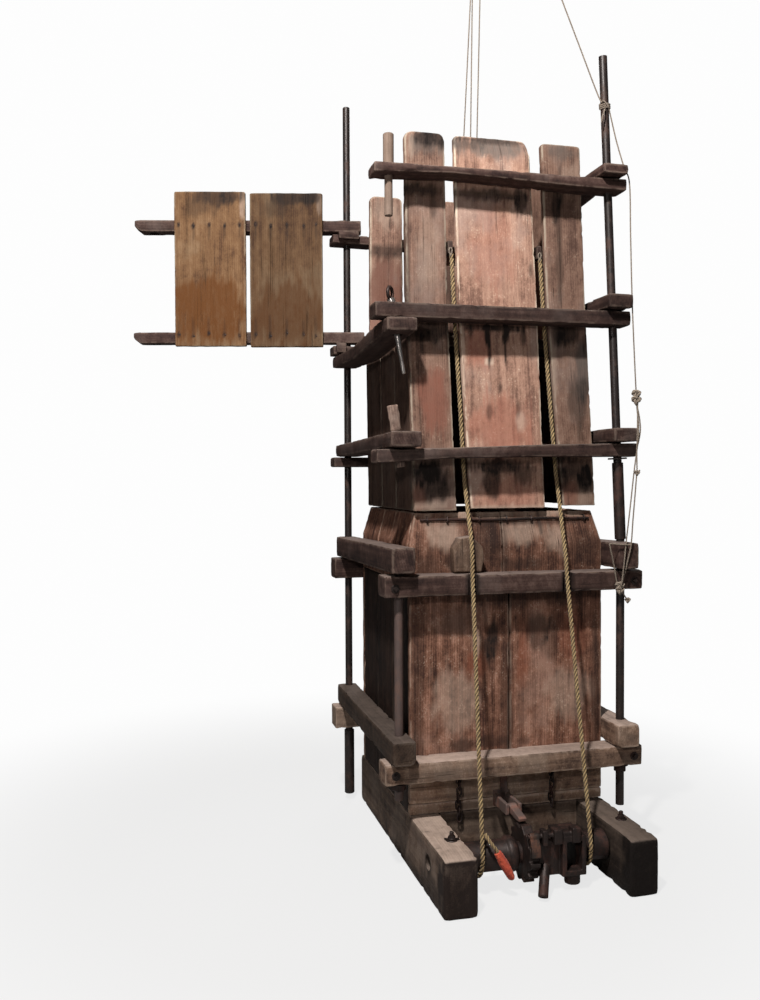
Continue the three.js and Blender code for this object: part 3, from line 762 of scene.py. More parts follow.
def fibre(name, pale, deep, hollow):
    """Laid rope: yarns across the strands, darker in the hollows between them."""
    material, tree, shader = blank_material(name)
    grain = attribute(tree, "grain", "Vector")
    yarn = stretched_noise(tree, grain, (900, 900, 160), 4, 0.6)
    dirt = stretched_noise(tree, grain, (60, 60, 9), 4, 0.6)
    colour = mix(tree, step_up(tree, dirt, 0.35, 0.65), deep, pale)
    colour = mix(tree, maths(tree, "MULTIPLY", step_up(tree, yarn, 0.45, 0.7), 0.4), colour, deep)
    crevice = step_up(tree, attribute(tree, "wear"), 0.3, 1.0)
    colour = mix(tree, maths(tree, "MULTIPLY", crevice, 0.85), colour, hollow)
    tree.links.new(colour, shader.inputs["Base Color"])
    shader.inputs["Roughness"].default_value = 0.88
    shader.inputs["Sheen Weight"].default_value = 0.15
    add_bump(tree, shader, yarn, 0.7, 0.0008)
    return material


BOX_WOOD = wood("box_wood", pale=(0.51, 0.32, 0.24), mid=(0.35, 0.203, 0.147), deep=(0.14, 0.074, 0.055),
                grey=(0.24, 0.195, 0.18), greyness=0.4, flecks=0.45, worn_edge=0.95,
                edge_colour=(0.62, 0.50, 0.39), warm=(0.36, 0.14, 0.095))
DOOR_WOOD = wood("door_wood", pale=(0.27, 0.160, 0.084), mid=(0.18, 0.094, 0.043), deep=(0.07, 0.03, 0.014),
                 grey=(0.22, 0.16, 0.10), greyness=0.35, worn_edge=0.6, edge_colour=(0.36, 0.27, 0.18),
                 contrast=0.85, warm=(0.125, 0.046, 0.011))
LOWER_WOOD = wood("lower_wood", pale=(0.42, 0.222, 0.155), mid=(0.205, 0.096, 0.062),
                  deep=(0.05, 0.022, 0.016), grey=(0.20, 0.135, 0.11), greyness=0.4, flecks=0.8,
                  worn_edge=0.6, contrast=1.1, edge_colour=(0.42, 0.31, 0.24))
RAIL_WOOD = wood("rail_wood", pale=(0.11, 0.068, 0.056), mid=(0.05, 0.027, 0.022), deep=(0.016, 0.008, 0.007),
                 grey=(0.07, 0.055, 0.05), greyness=0.4, dust=0.8, dust_colour=(0.21, 0.16, 0.14),
                 worn_edge=0.45, edge_colour=(0.20, 0.145, 0.115))
BASE_RAIL_WOOD = wood("base_rail_wood", pale=(0.34, 0.23, 0.165), mid=(0.18, 0.112, 0.078),
                      deep=(0.05, 0.03, 0.023), grey=(0.17, 0.135, 0.11), greyness=0.45, dust=0.85,
                      dust_colour=(0.42, 0.32, 0.27), edge_colour=(0.45, 0.34, 0.27), flecks=0.4)
SKID_WOOD = wood("skid_wood", pale=(0.20, 0.14, 0.105), mid=(0.10, 0.066, 0.048), deep=(0.025, 0.016, 0.013),
                 grey=(0.12, 0.095, 0.08), greyness=0.4, dust=0.9, dust_colour=(0.40, 0.305, 0.25),
                 worn_edge=0.4, edge_colour=(0.25, 0.19, 0.15), contrast=1.1)
DOWEL_WOOD = wood("dowel_wood", pale=(0.24, 0.175, 0.145), mid=(0.185, 0.13, 0.10), deep=(0.105, 0.07, 0.053),
                  greyness=0.15, relief=0.3, contrast=0.7, worn_edge=0.2)
BARK = wood("bark", pale=(0.30, 0.21, 0.17), mid=(0.15, 0.095, 0.075), deep=(0.045, 0.026, 0.02),
            greyness=0.4, relief=1.0, contrast=1.2)
ROD_IRON = iron("rod_iron", (0.022, 0.017, 0.016), (0.060, 0.033, 0.025), rustiness=0.45, metallic=0.3,
                roughness=0.42, pitting=0.35)
# painted light: a lighter, rustier iron for the front left rod, lighter partly because that rod stands in the
# light
LIT_RUSTY_ROD_IRON = iron("lit_rusty_rod_iron", (0.090, 0.063, 0.057), (0.13, 0.078, 0.063), rustiness=0.5, metallic=0.15,
                   roughness=0.55, pitting=0.3)
CAST_IRON = iron("cast_iron", (0.030, 0.021, 0.019), (0.075, 0.036, 0.028), rustiness=0.5)
# painted shade: near-black iron for the sheet that darkens the inside of the lever's socket
POCKET_SHADE_IRON = iron("pocket_painted_shade", (0.006, 0.005, 0.005), (0.012, 0.008, 0.007), metallic=0.1)
STRAP_IRON = iron("strap_iron", (0.045, 0.034, 0.03), (0.16, 0.075, 0.05), rustiness=0.6)
PALE_IRON = iron("pale_iron", (0.15, 0.11, 0.098), (0.25, 0.125, 0.095), rustiness=0.55, metallic=0.3)
WORN_STEEL = iron("worn_steel", (0.42, 0.39, 0.37), (0.22, 0.16, 0.13), rustiness=0.2, metallic=0.85,
                  roughness=0.32, pitting=0.25)
ROPE_FIBRE = fibre("rope_fibre", (0.42, 0.305, 0.145), (0.27, 0.18, 0.085), (0.055, 0.035, 0.018))
CORD_FIBRE = fibre("cord_fibre", (0.34, 0.28, 0.215), (0.20, 0.155, 0.12), (0.06, 0.045, 0.035))
WHIPPING = fibre("whipping", (0.62, 0.10, 0.045), (0.40, 0.055, 0.03), (0.14, 0.02, 0.012))


# Cords and ropes

LIFT_FOOT_Z = YOKE_Z + 106.3
LIFT_CORDS = [(-61, -7.5), (-16, -1), (6, 31)]  # X at the platen and X at the pulley block
TIE_ROUTE = [
    (175, -405, 3112), (255, -405, 2930), (334, -406, 2750), (341, -424, 2736), (357, -428, 2715),
    (370, -420, 2690), (389, -432, 2590), (411, -447, 2495), (425, -460, 2435), (427, -465, 2250),
    (431, -470, 2020), (437, -478, 1800), (443, -484, 1640), (443, -496, 1572), (440, -496, 1508),
    (427, -495, 1412), (409, -497, 1270), (394, -499, 1160), (385, -500, 1080), (375, -499, 1000),
]
ROPE_ROUTES = {
    "left": [
        (-207, -346, YOKE_Z - 0.5), (-197, -348, 1960), (-178, -350, 1650), (-165, -352, 1420),
        (-166, -392, 1290), (-167, -432, 1186), (-167, -446, 1110), (-168, -452, 1040),
        (-176, -495, 835), (-185, -541, 620), (-194, -588, 400), (-203, -638.6, 160), (-203, -638.6, 120),
    ],
    "right": [
        (130, -346, YOKE_Z - 0.5), (144, -348, 1960), (169, -350, 1650), (189, -352, 1420),
        (189, -385, 1300), (188, -418, 1180), (188, -439, 1110), (187, -452, 1040),
        (187, -495, 835), (186, -541, 620), (186, -588, 400), (185, -638.6, 160), (185, -638.6, 120),
    ],
}


def metres(route):
    return [tuple(place(*p)) for p in route]


def hang_press_ropes():
    """Lays each press rope from the platen's arm down to the windlass drum."""
    for side, points in ROPE_ROUTES.items():
        made, route, length = laid(points, ROPE_DIAMETER)
        rope = piece(f"press_rope_{side}", made, ROPE_FIBRE, None, (f"rope_{side}",), sharp=70)
        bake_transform(rope)
        metres(route)


def hang_lift_cords(block):
    """Lays each lift cord from the platen's beam up to the pulley block."""
    for index, (foot_x, top_x) in enumerate(LIFT_CORDS):
        points = [(foot_x + share * (top_x - foot_x), 0, LIFT_FOOT_Z + share * (LIFT_TOP_Z - LIFT_FOOT_Z))
                  for share in (0, 0.25, 0.5, 0.75, 1)]
        made, route, length = laid(points, CORD_DIAMETER, per_strand=4)
        cord = piece(f"lift_line_{index + 1}", made, CORD_FIBRE, None, (f"lift_cord_{index + 1}",), sharp=70)
        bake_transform(cord)
        metres(route)


def ring_of(centre, radius, way, turns=1.0, rise=0.0, steps=20, squash=(1, 1)):
    """Points round an axis, for a wrap or a loop."""
    side, other = direction_frame(way)
    way = Vector(way).normalized()
    count = max(8, int(steps * turns))
    return [Vector(centre) + way * rise * turns * k / count
            + radius * squash[0] * math.cos(2 * math.pi * turns * k / count) * side
            + radius * squash[1] * math.sin(2 * math.pi * turns * k / count) * other
            for k in range(count + 1)]


def knot(centre, size):
    """A fat tangle: a trefoil of cord."""
    points = []
    for k in range(37):
        t = 2 * math.pi * k / 36
        trefoil = Vector((math.sin(t) + 2 * math.sin(2 * t), 0.9 * -math.sin(3 * t),
                          math.cos(t) - 2 * math.cos(2 * t)))
        points.append(Vector(centre) + size * trefoil / 3)
    return points


TIE_STRANDS = [
    [(347, -424, 2706), (338, -434, 2690), (330, -437, 2672), (327, -436, 2652)],
    [(443, -489, 1650), (440, -494, 1590), (437, -498, 1530), (434, -500, 1480), (435, -500, 1410)],
    [(438, -490, 1650), (449, -491, 1600), (453, -491, 1556), (447, -492, 1520), (441, -493, 1500)],
    [(434, -500, 1400), (426, -502, 1320), (418, -502, 1230), (411, -502, 1146), (400, -494, 1080),
     (386, -484, 1008)],
    [(408, -501, 1146), (368, -502, 1148), (330, -501, 1151), (331, -500, 1136), (350, -490, 1076),
     (366, -482, 1012)],
    [(384, -482, 982), (398, -480, 962), (410, -474, 949)],
    [(424, -499, 1410), (435, -500, 1402), (447, -499, 1412)],
]
FAT_KNOTS = [
    ((439, -487, 1684), 14), ((438, -489, 1662), 15), ((375, -488, 1000), 14), ((376, -488, 984), 13),
]
SMALL_KNOTS = [((414, -474, 945), 9), ((435, -500, 1402), 9)]


def hang_tie_line(hook):
    """The line from the hook down the front right rod, with its wraps, doubled strands and knots."""
    made, route, length = laid(TIE_ROUTE, CORD_DIAMETER, per_strand=4)
    line = piece("tie_rope", made, CORD_FIBRE, "root", ("tie_line",), sharp=70)
    metres(reversed(route))
    top_x, top_z = RIGHT_ROD_TOP
    lean = (Vector((top_x, -ROD_Y, top_z)) - Vector((ROD_X, -ROD_Y, ROD_KINK_Z))).normalized()
    wraps = ring_of((356.2, -ROD_Y, 2712), ROD_RADIUS + 3.2, lean, turns=3, rise=6.2)
    shells = [laid(points, CORD_DIAMETER, per_strand=4)[0] for points in [wraps, *TIE_STRANDS]]
    for knots, thickness in ((FAT_KNOTS, 12), (SMALL_KNOTS, 7.5)):
        shells += [laid(knot(centre, size), thickness, per_strand=4)[0] for centre, size in knots]
    piece("tie_knots", shells, CORD_FIBRE, sharp=70)


def make_pulley_block():
    """The block above that the lift cords run into: two cheeks, a sheave and an eye."""
    outline = [(BLOCK_X + 41 * math.cos(angle), SHEAVE_Z + 32 * math.sin(angle))
               for angle in np.linspace(0, 2 * math.pi, 33)[:-1]]
    shells = [plate(outline, "y", depth) for depth in ((-20, -13), (13, 20))]
    sheave = [(0, 26), (4, 27), (11, 20), (18, 27), (22, 26)]
    shells += [
        turned((BLOCK_X, -11, SHEAVE_Z), (BLOCK_X, 11, SHEAVE_Z), sheave),
        bar((BLOCK_X, -22, SHEAVE_Z), (BLOCK_X, 22, SHEAVE_Z), 7),
        bar((BLOCK_X, 0, 3344), (BLOCK_X, 0, 3368), 8),
        plate([(-6, 3338), (28, 3338), (24, 3350), (-2, 3350)], "y", (-14, 14)),
        rod_along(ring_of((BLOCK_X, 0, 3374), 8, (0, 1, 0), steps=24), 3, 3.5),
    ]
    return piece("pulley_block", shells, STRAP_IRON, "root", ("lift_block",))


def make_hook():
    """The hook above that holds the tie line's loop."""
    route = [(174, -405, 3149), (174, -405, 3136), (182, -405, 3128), (181, -405, 3119), HOOK_RING,
             (167, -405, 3119), (166, -405, 3126)]
    loop = laid(ring_of(HOOK_RING, 6.5, (1, 0.2, 0), turns=1.6, rise=4), 5, per_strand=4)[0]
    hook = piece("line_hook", rod_along(route, 3, 3.2), STRAP_IRON, "root", ("tie_hook",))
    piece("hook_loop", loop, CORD_FIBRE, sharp=70)
    return hook


hang_press_ropes()
hang_lift_cords(make_pulley_block())
hang_tie_line(make_hook())


# Boards of the lower box and the collar

def board_row(name, low, high, count, gap=1.5):
    """Evenly split widths with a small gap, a little uneven, from low to high."""
    draw = random.Random(name)
    cuts = [low + (high - low) * (k + (draw.uniform(-0.12, 0.12) if 0 < k < count else 0)) / count
            for k in range(count + 1)]
    return [(cuts[k] + (gap / 2 if k else 0), cuts[k + 1] - (gap / 2 if k < count - 1 else 0))
            for k in range(count)]


LOWER_MARKS = [
    ("dark", 60, 975, 330, 60, 0.6), ("dark", -60, 800, 34, 95, 0.85), ("dark", 120, 830, 60, 70, 0.55),
    ("dark", -190, 900, 70, 80, 0.35), ("dark", 170, 790, 28, 90, 0.5), ("dark", -340, 700, 26, 300, 0.4),
    ("warm", -130, 720, 45, 60, 0.5), ("warm", 60, 760, 26, 120, 0.45), ("warm", 250, 800, 60, 120, 0.35),
    ("dark", -170, 432, 60, 26, 0.6), ("dark", -60, 436, 60, 22, 0.55), ("dark", 60, 430, 30, 18, 0.4),
    ("pale", -210, 600, 90, 130, 0.35), ("pale", 240, 600, 90, 110, 0.3), ("dark", 345, 600, 20, 300, 0.55),
    ("dark", -15, 600, 16, 330, 0.35), ("dark", 9, 560, 10, 330, 0.5), ("pale", -120, 790, 14, 60, 0.5),
]


# Y of the front boards, of the back boards and of what lies between them
FRONT = (-HALF_DEPTH, -HALF_DEPTH + BOARD)
BACK = (HALF_DEPTH - BOARD, HALF_DEPTH)
BETWEEN = (-HALF_DEPTH + BOARD + 0.5, HALF_DEPTH - BOARD - 0.5)
BOX_FOOT_Z = 195
CHAMBER_TOP_Z = 1009
APRON_WIDTH = (-257, 271)  # it fits between the skids


def build_lower_front():
    for side, (left, right) in (("left", (-HALF_WIDTH, 3)), ("right", (5.5, HALF_WIDTH))):
        board = plank(f"lower_front_{side}", "z",
                      [(336, left, right, *FRONT), (CHAMBER_TOP_Z, left, right, *FRONT)],
                      mesh_step=(9, 12), marks=LOWER_MARKS, wear=1.8)
        piece(f"lower_front_board_{side}", board, LOWER_WOOD,
              stands_for=("lower_front_panel",) if side == "left" else ())
    sills = [("upper_sill", 234, 334, -HALF_WIDTH, HALF_WIDTH),
             ("lower_sill", 195, 232, -HALF_WIDTH, HALF_WIDTH), ("apron", 72, 194, *APRON_WIDTH)]
    # painted light: the sills' tone of 1.0 makes them lighter than the rails, partly standing in for light
    # that reaches them under rail e
    shells = [plank(name, "x", [(left, *FRONT, low, high), (right, *FRONT, low, high)], wear=2,
                    tone=-1.6 if name == "apron" else 1.0) for name, low, high, left, right in sills]
    piece("lower_front_sills", shells, BASE_RAIL_WOOD)


def build_lower_sides():
    walls = {"left": (-HALF_WIDTH, -HALF_WIDTH + BOARD), "right": (HALF_WIDTH - BOARD, HALF_WIDTH)}
    for side, x in walls.items():
        # painted shade: a tone of -5.4 darkens both side walls, as the left wall lies in shade
        shells = [plank(f"lower_{side}_{k}", "z", [(z, *x, *span) for z in (BOX_FOOT_Z, CHAMBER_TOP_Z)],
                        tone=-5.4)
                  for k, span in enumerate(board_row(f"lower_{side}", *BETWEEN, 3))]
        piece(f"lower_{side}_boards", shells, LOWER_WOOD, stands_for=(f"lower_{side}_panel",))
    shells = [plank(f"lower_back_{k}", "z", [(BOX_FOOT_Z, *span, *BACK), (CHAMBER_TOP_Z, *span, *BACK)])
              for k, span in enumerate(board_row("lower_back", -HALF_WIDTH, HALF_WIDTH, 4))]
    piece("lower_back_boards", shells, LOWER_WOOD, stands_for=("lower_back_panel",))


def build_floor_boards():
    """The chamber's floor and the two battens under it."""
    shells = [plank(f"floor_{k}", "x", [(-342, *span, 194.5, 221), (342, *span, 194.5, 221)])
              for k, span in enumerate(board_row("floor", -333, 333, 4, gap=4))]
    shells += [plank(f"batten_{k}", "x", [(x, *y, 120, 194) for x in APRON_WIDTH], corner=5)
               for k, y in enumerate(((-300, -230), (230, 300)))]
    piece("floor_boards", shells, LOWER_WOOD, stands_for=("chamber_floor",))


COLLAR_MARKS = [
    ("dark", -190, 1090, 60, 40, 0.7), ("dark", -60, 1150, 60, 90, 0.45), ("dark", 60, 1075, 90, 26, 0.5),
    ("dark", 300, 1120, 60, 80, 0.4), ("pale", -240, 1180, 70, 60, 0.55), ("pale", 60, 1190, 80, 50, 0.5),
    ("pale", 190, 1160, 40, 60, 0.5), ("pale", 0, 1255, 340, 12, 0.6), ("dark", 20, 1222, 320, 10, 0.5),
    ("dark", -300, 1080, 40, 50, 0.4), ("dark", 130, 1230, 8, 60, 0.6),
]


def build_collar():
    """Four walls of upright boards, which lean inwards above the bend."""
    levels = [(1010.5, 0), (1150, 0), (1264, 29)]  # a height, and how far in the boards stand there

    def wall(name, half_wide, half_deep, axis_is_x, sign, cut, tone=0.0):
        shells = []
        for k, (low, high) in enumerate(board_row(name, -1, 1, cut, gap=0)):
            stations = []
            for z, inward in levels:
                half = half_wide - inward - (0 if axis_is_x else BOARD + 0.5)
                span = (low * half + (0.6 if k else 0), high * half - (0.6 if k < cut - 1 else 0))
                outer = sign * (half_deep - inward)
                across = sorted((outer, outer - sign * BOARD))
                stations.append((z, *span, *across) if axis_is_x else (z, *across, *span))
            shells.append(plank(f"{name}_{k}", "z", stations, mesh_step=(11, 12), bow=0.6, wear=2.6,
                                tone=tone, marks=COLLAR_MARKS if name == "collar_front" else (), corner=3,
                                rounding=4))
        return shells
    piece("collar_front_boards", wall("collar_front", HALF_WIDTH, HALF_DEPTH, True, -1, 2, -0.9), LOWER_WOOD,
          stands_for=("collar",))
    piece("collar_back_boards", wall("collar_back", HALF_WIDTH, HALF_DEPTH, True, 1, 3), LOWER_WOOD)
    piece("collar_left_boards", wall("collar_left", HALF_DEPTH, HALF_WIDTH, False, -1, 3, -0.2), LOWER_WOOD)
    piece("collar_right_boards", wall("collar_right", HALF_DEPTH, HALF_WIDTH, False, 1, 3), LOWER_WOOD)


def build_bag_rod():
    """A thin iron rod stapled along the collar, which holds the bag's edge."""
    route = [(-325 + 650 * k / 12, -344 + 0.8 * math.sin(1.7 * k), 1238 + 1.5 * math.sin(0.9 * k))
             for k in range(13)]
    shells = [rod_along(route, 12, 4.5)]
    for x in (-300, -225, -105, 0, 95, 210, 305):
        staple = [(x, -339, 1229), (x, -350, 1230), (x, -352, 1239), (x, -346, 1248), (x, -337, 1249)]
        shells.append(rod_along(staple, 3, 2.4, 8))
    piece("bag_rod", shells, CAST_IRON)


build_lower_front()
build_lower_sides()
build_floor_boards()
build_collar()
build_bag_rod()


# Boards of the upper box

UPPER_MARKS = {
    "left": [
        ("dark", -290, 2570, 56, 34, 0.8), ("grey", -300, 2550, 60, 44, 0.6),
        ("pale", -360, 2540, 16, 40, 0.7), ("dark", -320, 2390, 90, 26, 0.7),
        ("dark", -290, 1900, 110, 44, 0.7), ("warm", -280, 1660, 60, 130, 0.7),
        ("dark", -300, 1400, 70, 50, 0.9), ("dark", -270, 1350, 60, 50, 0.7),
        ("pale", -300, 1290, 90, 16, 0.5), ("dark", -370, 2100, 9, 300, 0.5),
        ("pale", -300, 2180, 40, 140, 0.3), ("warm", -330, 1330, 24, 60, 0.5),
        ("dark", -230, 2010, 6, 300, 0.4), ("dark", -320, 1850, 12, 60, 0.6),
        ("dark", -280, 2340, 14, 50, 0.5),
    ],
    "middle": [
        ("grey", -60, 2560, 175, 40, 0.75), ("dark", -60, 2580, 165, 10, 0.6),
        ("dark", -150, 2560, 60, 22, 0.4), ("dark", 50, 2380, 24, 60, 0.75),
        ("dark", -60, 2390, 150, 22, 0.7), ("warm", -50, 2200, 90, 160, 0.3),
        ("dark", 90, 2130, 14, 50, 0.6), ("dark", -80, 1910, 14, 46, 1.0), ("dark", -70, 1850, 6, 62, 0.95),
        ("dark", -10, 1910, 16, 50, 1.0), ("dark", -10, 1840, 7, 66, 0.95),
        ("dark", -50, 1920, 130, 16, 0.8), ("dark", 60, 1900, 12, 40, 0.7),
        ("dark", -140, 1910, 12, 34, 0.6), ("pale", -70, 1800, 16, 12, 0.9),
        ("dark", -30, 1710, 12, 18, 0.5), ("dark", -70, 1620, 12, 34, 0.5),
        ("dark", 40, 1640, 12, 34, 0.45), ("pale", 50, 1590, 18, 44, 0.5),
        ("pale", -170, 1700, 7, 330, 0.7), ("warm", -110, 1860, 50, 90, 0.5),
        ("warm", -20, 1560, 120, 130, 0.5), ("dark", -30, 1430, 130, 30, 0.8),
        ("dark", -60, 1370, 40, 60, 0.7), ("dark", 60, 1400, 40, 50, 0.6), ("warm", 0, 1330, 130, 60, 0.35),
        ("pale", 0, 1280, 140, 10, 0.6),
    ],
    "right": [
        ("dark", 190, 2370, 34, 60, 0.7), ("dark", 200, 2240, 14, 260, 0.5),
        ("dark", 220, 1910, 60, 50, 0.8), ("grey", 290, 1780, 30, 120, 0.7),
        ("dark", 280, 1650, 40, 120, 0.5), ("dark", 310, 1890, 20, 60, 0.8),
        ("dark", 200, 1470, 60, 34, 0.7), ("dark", 300, 1390, 34, 50, 0.9),
        ("dark", 210, 1380, 30, 44, 0.7), ("dark", 260, 1420, 50, 40, 0.6),
        ("pale", 180, 1700, 10, 260, 0.6), ("pale", 300, 1310, 30, 60, 0.45),
        ("warm", 240, 1320, 40, 60, 0.45), ("pale", 260, 2480, 40, 60, 0.3),
        ("grey", 210, 2560, 70, 28, 0.5),
    ],
}
# painted shadow and painted light on the left back board: warmer and darker below its top as a cast shadow,
# paler at its top where light falls; the two broad dark marks darken the middle and right boards as painted
# shade inside the box, and the narrow one is a streak
BACK_MARKS_AND_PAINTED_SHADE = [
    ("warm", -265, 2100, 100, 230, 0.55), ("dark", -265, 2180, 90, 200, 0.35),
    ("dark", -265, 2345, 100, 34, 0.6), ("pale", -270, 2500, 60, 70, 0.5),
    ("dark", 40, 1900, 260, 420, 0.6), ("dark", -185, 2300, 20, 300, 0.4),
    ("dark", 200, 2300, 90, 260, 0.8),
]
BACK_SPLITS = [(0, 0.227), (0.243, 0.49), (0.50, 0.75), (0.76, 1)]
UPPER_FRONT = {
    "left": [(1271, -350, -193), (2000, -375, -225), (2590, -383, -236)],
    "middle": [(1277, -141, 146), (2020, -187, 114), (2545, -202, 85), (2588, -203, 62)],
    "right": [(1284, 215, 345), (2030, 149, 302), (2588, 128, 281)],
}


UPPER_CROWNS = {"left": 26, "middle": 14, "right": 12}
UPPER_TONES = {"left": -1.3, "middle": 0.1, "right": -1.6}


def build_upper_front():
    for name, outline in UPPER_FRONT.items():
        board = plank(f"upper_front_{name}", "z", [(z, left, right, *FRONT) for z, left, right in outline],
                      mesh_step=(7, 12), crowns=(0, UPPER_CROWNS[name]), marks=UPPER_MARKS[name], wear=2.6,
                      corner=4, tone=UPPER_TONES[name])
        piece(f"upper_front_{name}", board, BOX_WOOD, stands_for=(f"upper_front_board_{name}",))


def tapering_row(name, levels, splits, **more):
    """Upright boards between two leaning sides.

    A level is (z, low, high, near, far, whether the row is along X), and a split is where a board starts
    and ends across the row, from 0 to 1.
    """
    shells = []
    for k, (start, end) in enumerate(splits):
        stations = []
        for z, low, high, near, far, along_x in levels:
            span = (low + start * (high - low), low + end * (high - low))
            stations.append((z, *span, near, far) if along_x else (z, near, far, *span))
        shells.append(plank(f"{name}_{k}", "z", stations, **more))
    return shells


def build_upper_walls():
    # painted shade: the back boards' tone of -0.7 darkens them inside the box
    piece("upper_back_boards", tapering_row(
        "upper_back", [(1272, -345, 345, *BACK, True), (2572, -337, 283, *BACK, True)], BACK_SPLITS,
        crowns=(0, 22), corner=4, marks=BACK_MARKS_AND_PAINTED_SHADE, tone=-0.7), BOX_WOOD, stands_for=("upper_back_panel",))
    # painted shade: a tone of -3.6 darkens the left wall, which lies in shade
    piece("upper_left_boards", tapering_row(
        "upper_left", [(1271, *BETWEEN, -350, -323, False), (1935, *BETWEEN, -358, -331, False)],
        board_row("upper_left", 0, 1, 3, gap=0.006), tone=-3.6), BOX_WOOD, stands_for=("upper_left_panel",))
    piece("upper_right_boards", tapering_row(
        "upper_right", [(1284, *BETWEEN, 318, 345, False), (2560, *BETWEEN, 255, 282, False)],
        board_row("upper_right", 0, 1, 3, gap=0.006), crowns=(0, 10), tone=-1.2), BOX_WOOD,
        stands_for=("upper_right_panel",))


build_upper_front()
build_upper_walls()


# Rails

PINS = {
    "top": {"foot": (-452, -408, 2278), "head": (-452, -408, 2555), "shank": 14},
    "middle": {"foot": (-400, -408, 1744), "head": (-445, -408, 2000), "shank": 14.5},
    "bottom": {"foot": (-411, -408, 1425), "head": (-441, -408, 1637), "shank": 15},
}


def pin_point(pin, z):
    foot, head = Vector(pin["foot"]), Vector(pin["head"])
    return foot + (z - foot.z) / (head.z - foot.z) * (head - foot)


def pin_hole(name, low, high):
    pin = PINS[name]
    return (pin_point(pin, low), pin_point(pin, high), pin["shank"] + 1.5)


# Rails along X, as (x, low, high), and rails along Y, as their width and (y, low, high)
LONG_RAILS = {
    "front": {
        "e": [(-483, 336, 411), (485, 336, 411)],
        "d": [(-483, 980, 1055), (485, 980, 1050)],
        "c": [(-508, 1438, 1485), (-250, 1455, 1491), (120, 1461, 1505), (464, 1461, 1510)],
        "b": [(-510, 1930, 1982), (435, 1932, 1984)],
        "a": [(-512, 2410, 2446), (-241, 2424, 2448), (215, 2412, 2450), (418, 2412, 2454)],
    },
    "back": {
        "e": [(-489, 320, 411), (485, 320, 411)],
        "d": [(-489, 961, 1046), (485, 961, 1046)],
        "c": [(-489, 1434, 1475), (464, 1434, 1475)],
        "b": [(-489, 1908, 1946), (435, 1908, 1946)],
        "a": [(-489, 2376, 2414), (418, 2364, 2402)],
    },
}
SIDE_RAILS = {
    "left": {
        "e": ((-466, -384), [(-492, 414, 497), (436, 414, 497)]),
        "d": ((-468, -384), [(-492, 1066, 1154), (436, 1050, 1135)]),
        "c": ((-469, -360.5), [(-492, 1492, 1545), (-361, 1490, 1542), (436, 1478, 1528)]),
        "b": ((-481, -374), [(-492, 1880, 1925), (-340, 1874, 1925), (50, 1848, 1898), (436, 1858, 1904)]),
    },
    "right": {
        "e": ((370.3, 455), [(-490, 414, 497), (-361, 414, 497), (436, 414, 497)]),
        "d": ((370.3, 450), [(-490, 1058, 1152), (-361, 1058, 1152), (436, 1050, 1135)]),
        "c": ((352, 452), [(-490, 1514, 1563), (-361, 1514, 1563), (436, 1480, 1528)]),
        "b": ((331, 426), [(-490, 1988, 2037), (-361, 1988, 2037), (436, 1950, 1995)]),
        "a": ((308, 405), [(-490, 2458, 2492), (-361, 2458, 2492), (436, 2404, 2440)]),
    },
}
RAIL_DEPTHS = {"front": (-RAIL_FRONT, -HALF_DEPTH - 0.3), "back": (HALF_DEPTH + 0.3, RAIL_FRONT)}
PIN_HOLES = {
    "front": {"a": ("top", 2390, 2470), "b": ("middle", 1915, 2000), "c": ("bottom", 1425, 1500)},
    "left": {"b": ("middle", 1860, 1940), "c": ("bottom", 1478, 1560)},
}
ROPE_GROOVES = [((x - 18, -470, 900), (x + 18, -441, 1100)) for x in (-167, 187)]
HEAVY = ("e", "d")
RAIL_TONES = {"a": 0.35, "b": -0.6, "c": -0.4, "d": 0.0, "e": 0.0}
# painted shade: the left rail e is darkened, as its top lies in shade
LEFT_RAIL_E_SHADE_TONE = -3.2


def rail_style(level):
    return {"corner": 5 if level in HEAVY else 4, "rounding": 5, "wear": 4.2, "mesh_step": (15, 20),
            "bow": 2.0, "tone": RAIL_TONES[level]}


def build_rail(side, level, axis, stations):
    """One rail, with its pin's hole and the grooves where the ropes cross it."""
    name = f"rail_{level}_{side}"
    style = rail_style(level)
    # painted shade: the left rail e gets a darker tone
    if (level, side) == ("e", "left"):
        style["tone"] = LEFT_RAIL_E_SHADE_TONE
    material = BASE_RAIL_WOOD if level == "e" else RAIL_WOOD
    rail = piece(f"{name}_wood", plank(f"{name}_wood", axis, stations, **style), material, stands_for=(name,))
    hole = PIN_HOLES.get(side, {}).get(level)
    grooves = ROPE_GROOVES if (level, side) == ("d", "front") else []
    if hole or grooves:
        bored(rail, [pin_hole(*hole)] if hole else [], grooves)


def build_rails():
    for side, rails in LONG_RAILS.items():
        for level, stations in rails.items():
            build_rail(side, level, "x", [(x, *RAIL_DEPTHS[side], low, high) for x, low, high in stations])
    for side, rails in SIDE_RAILS.items():
        for level, (wide, stations) in rails.items():
            build_rail(side, level, "y", [(y, *wide, low, high) for y, low, high in stations])


def build_rail_bolts():
    """Square heads and washers on the ends of the two heavy front rails."""
    shells = []
    for z in (1012, 372):
        for x in (-446, 452):
            washer = [(0, 15), (3, 15), (4, 14)]
            shells.append(turned((x, -RAIL_FRONT + 1, z), (x, -RAIL_FRONT - 3, z), washer))
            shells.append(nut((x, -RAIL_FRONT - 2, z), (0, -1, 0), across=17, height=9, sides=4))
    piece("rail_bolts", shells, CAST_IRON)


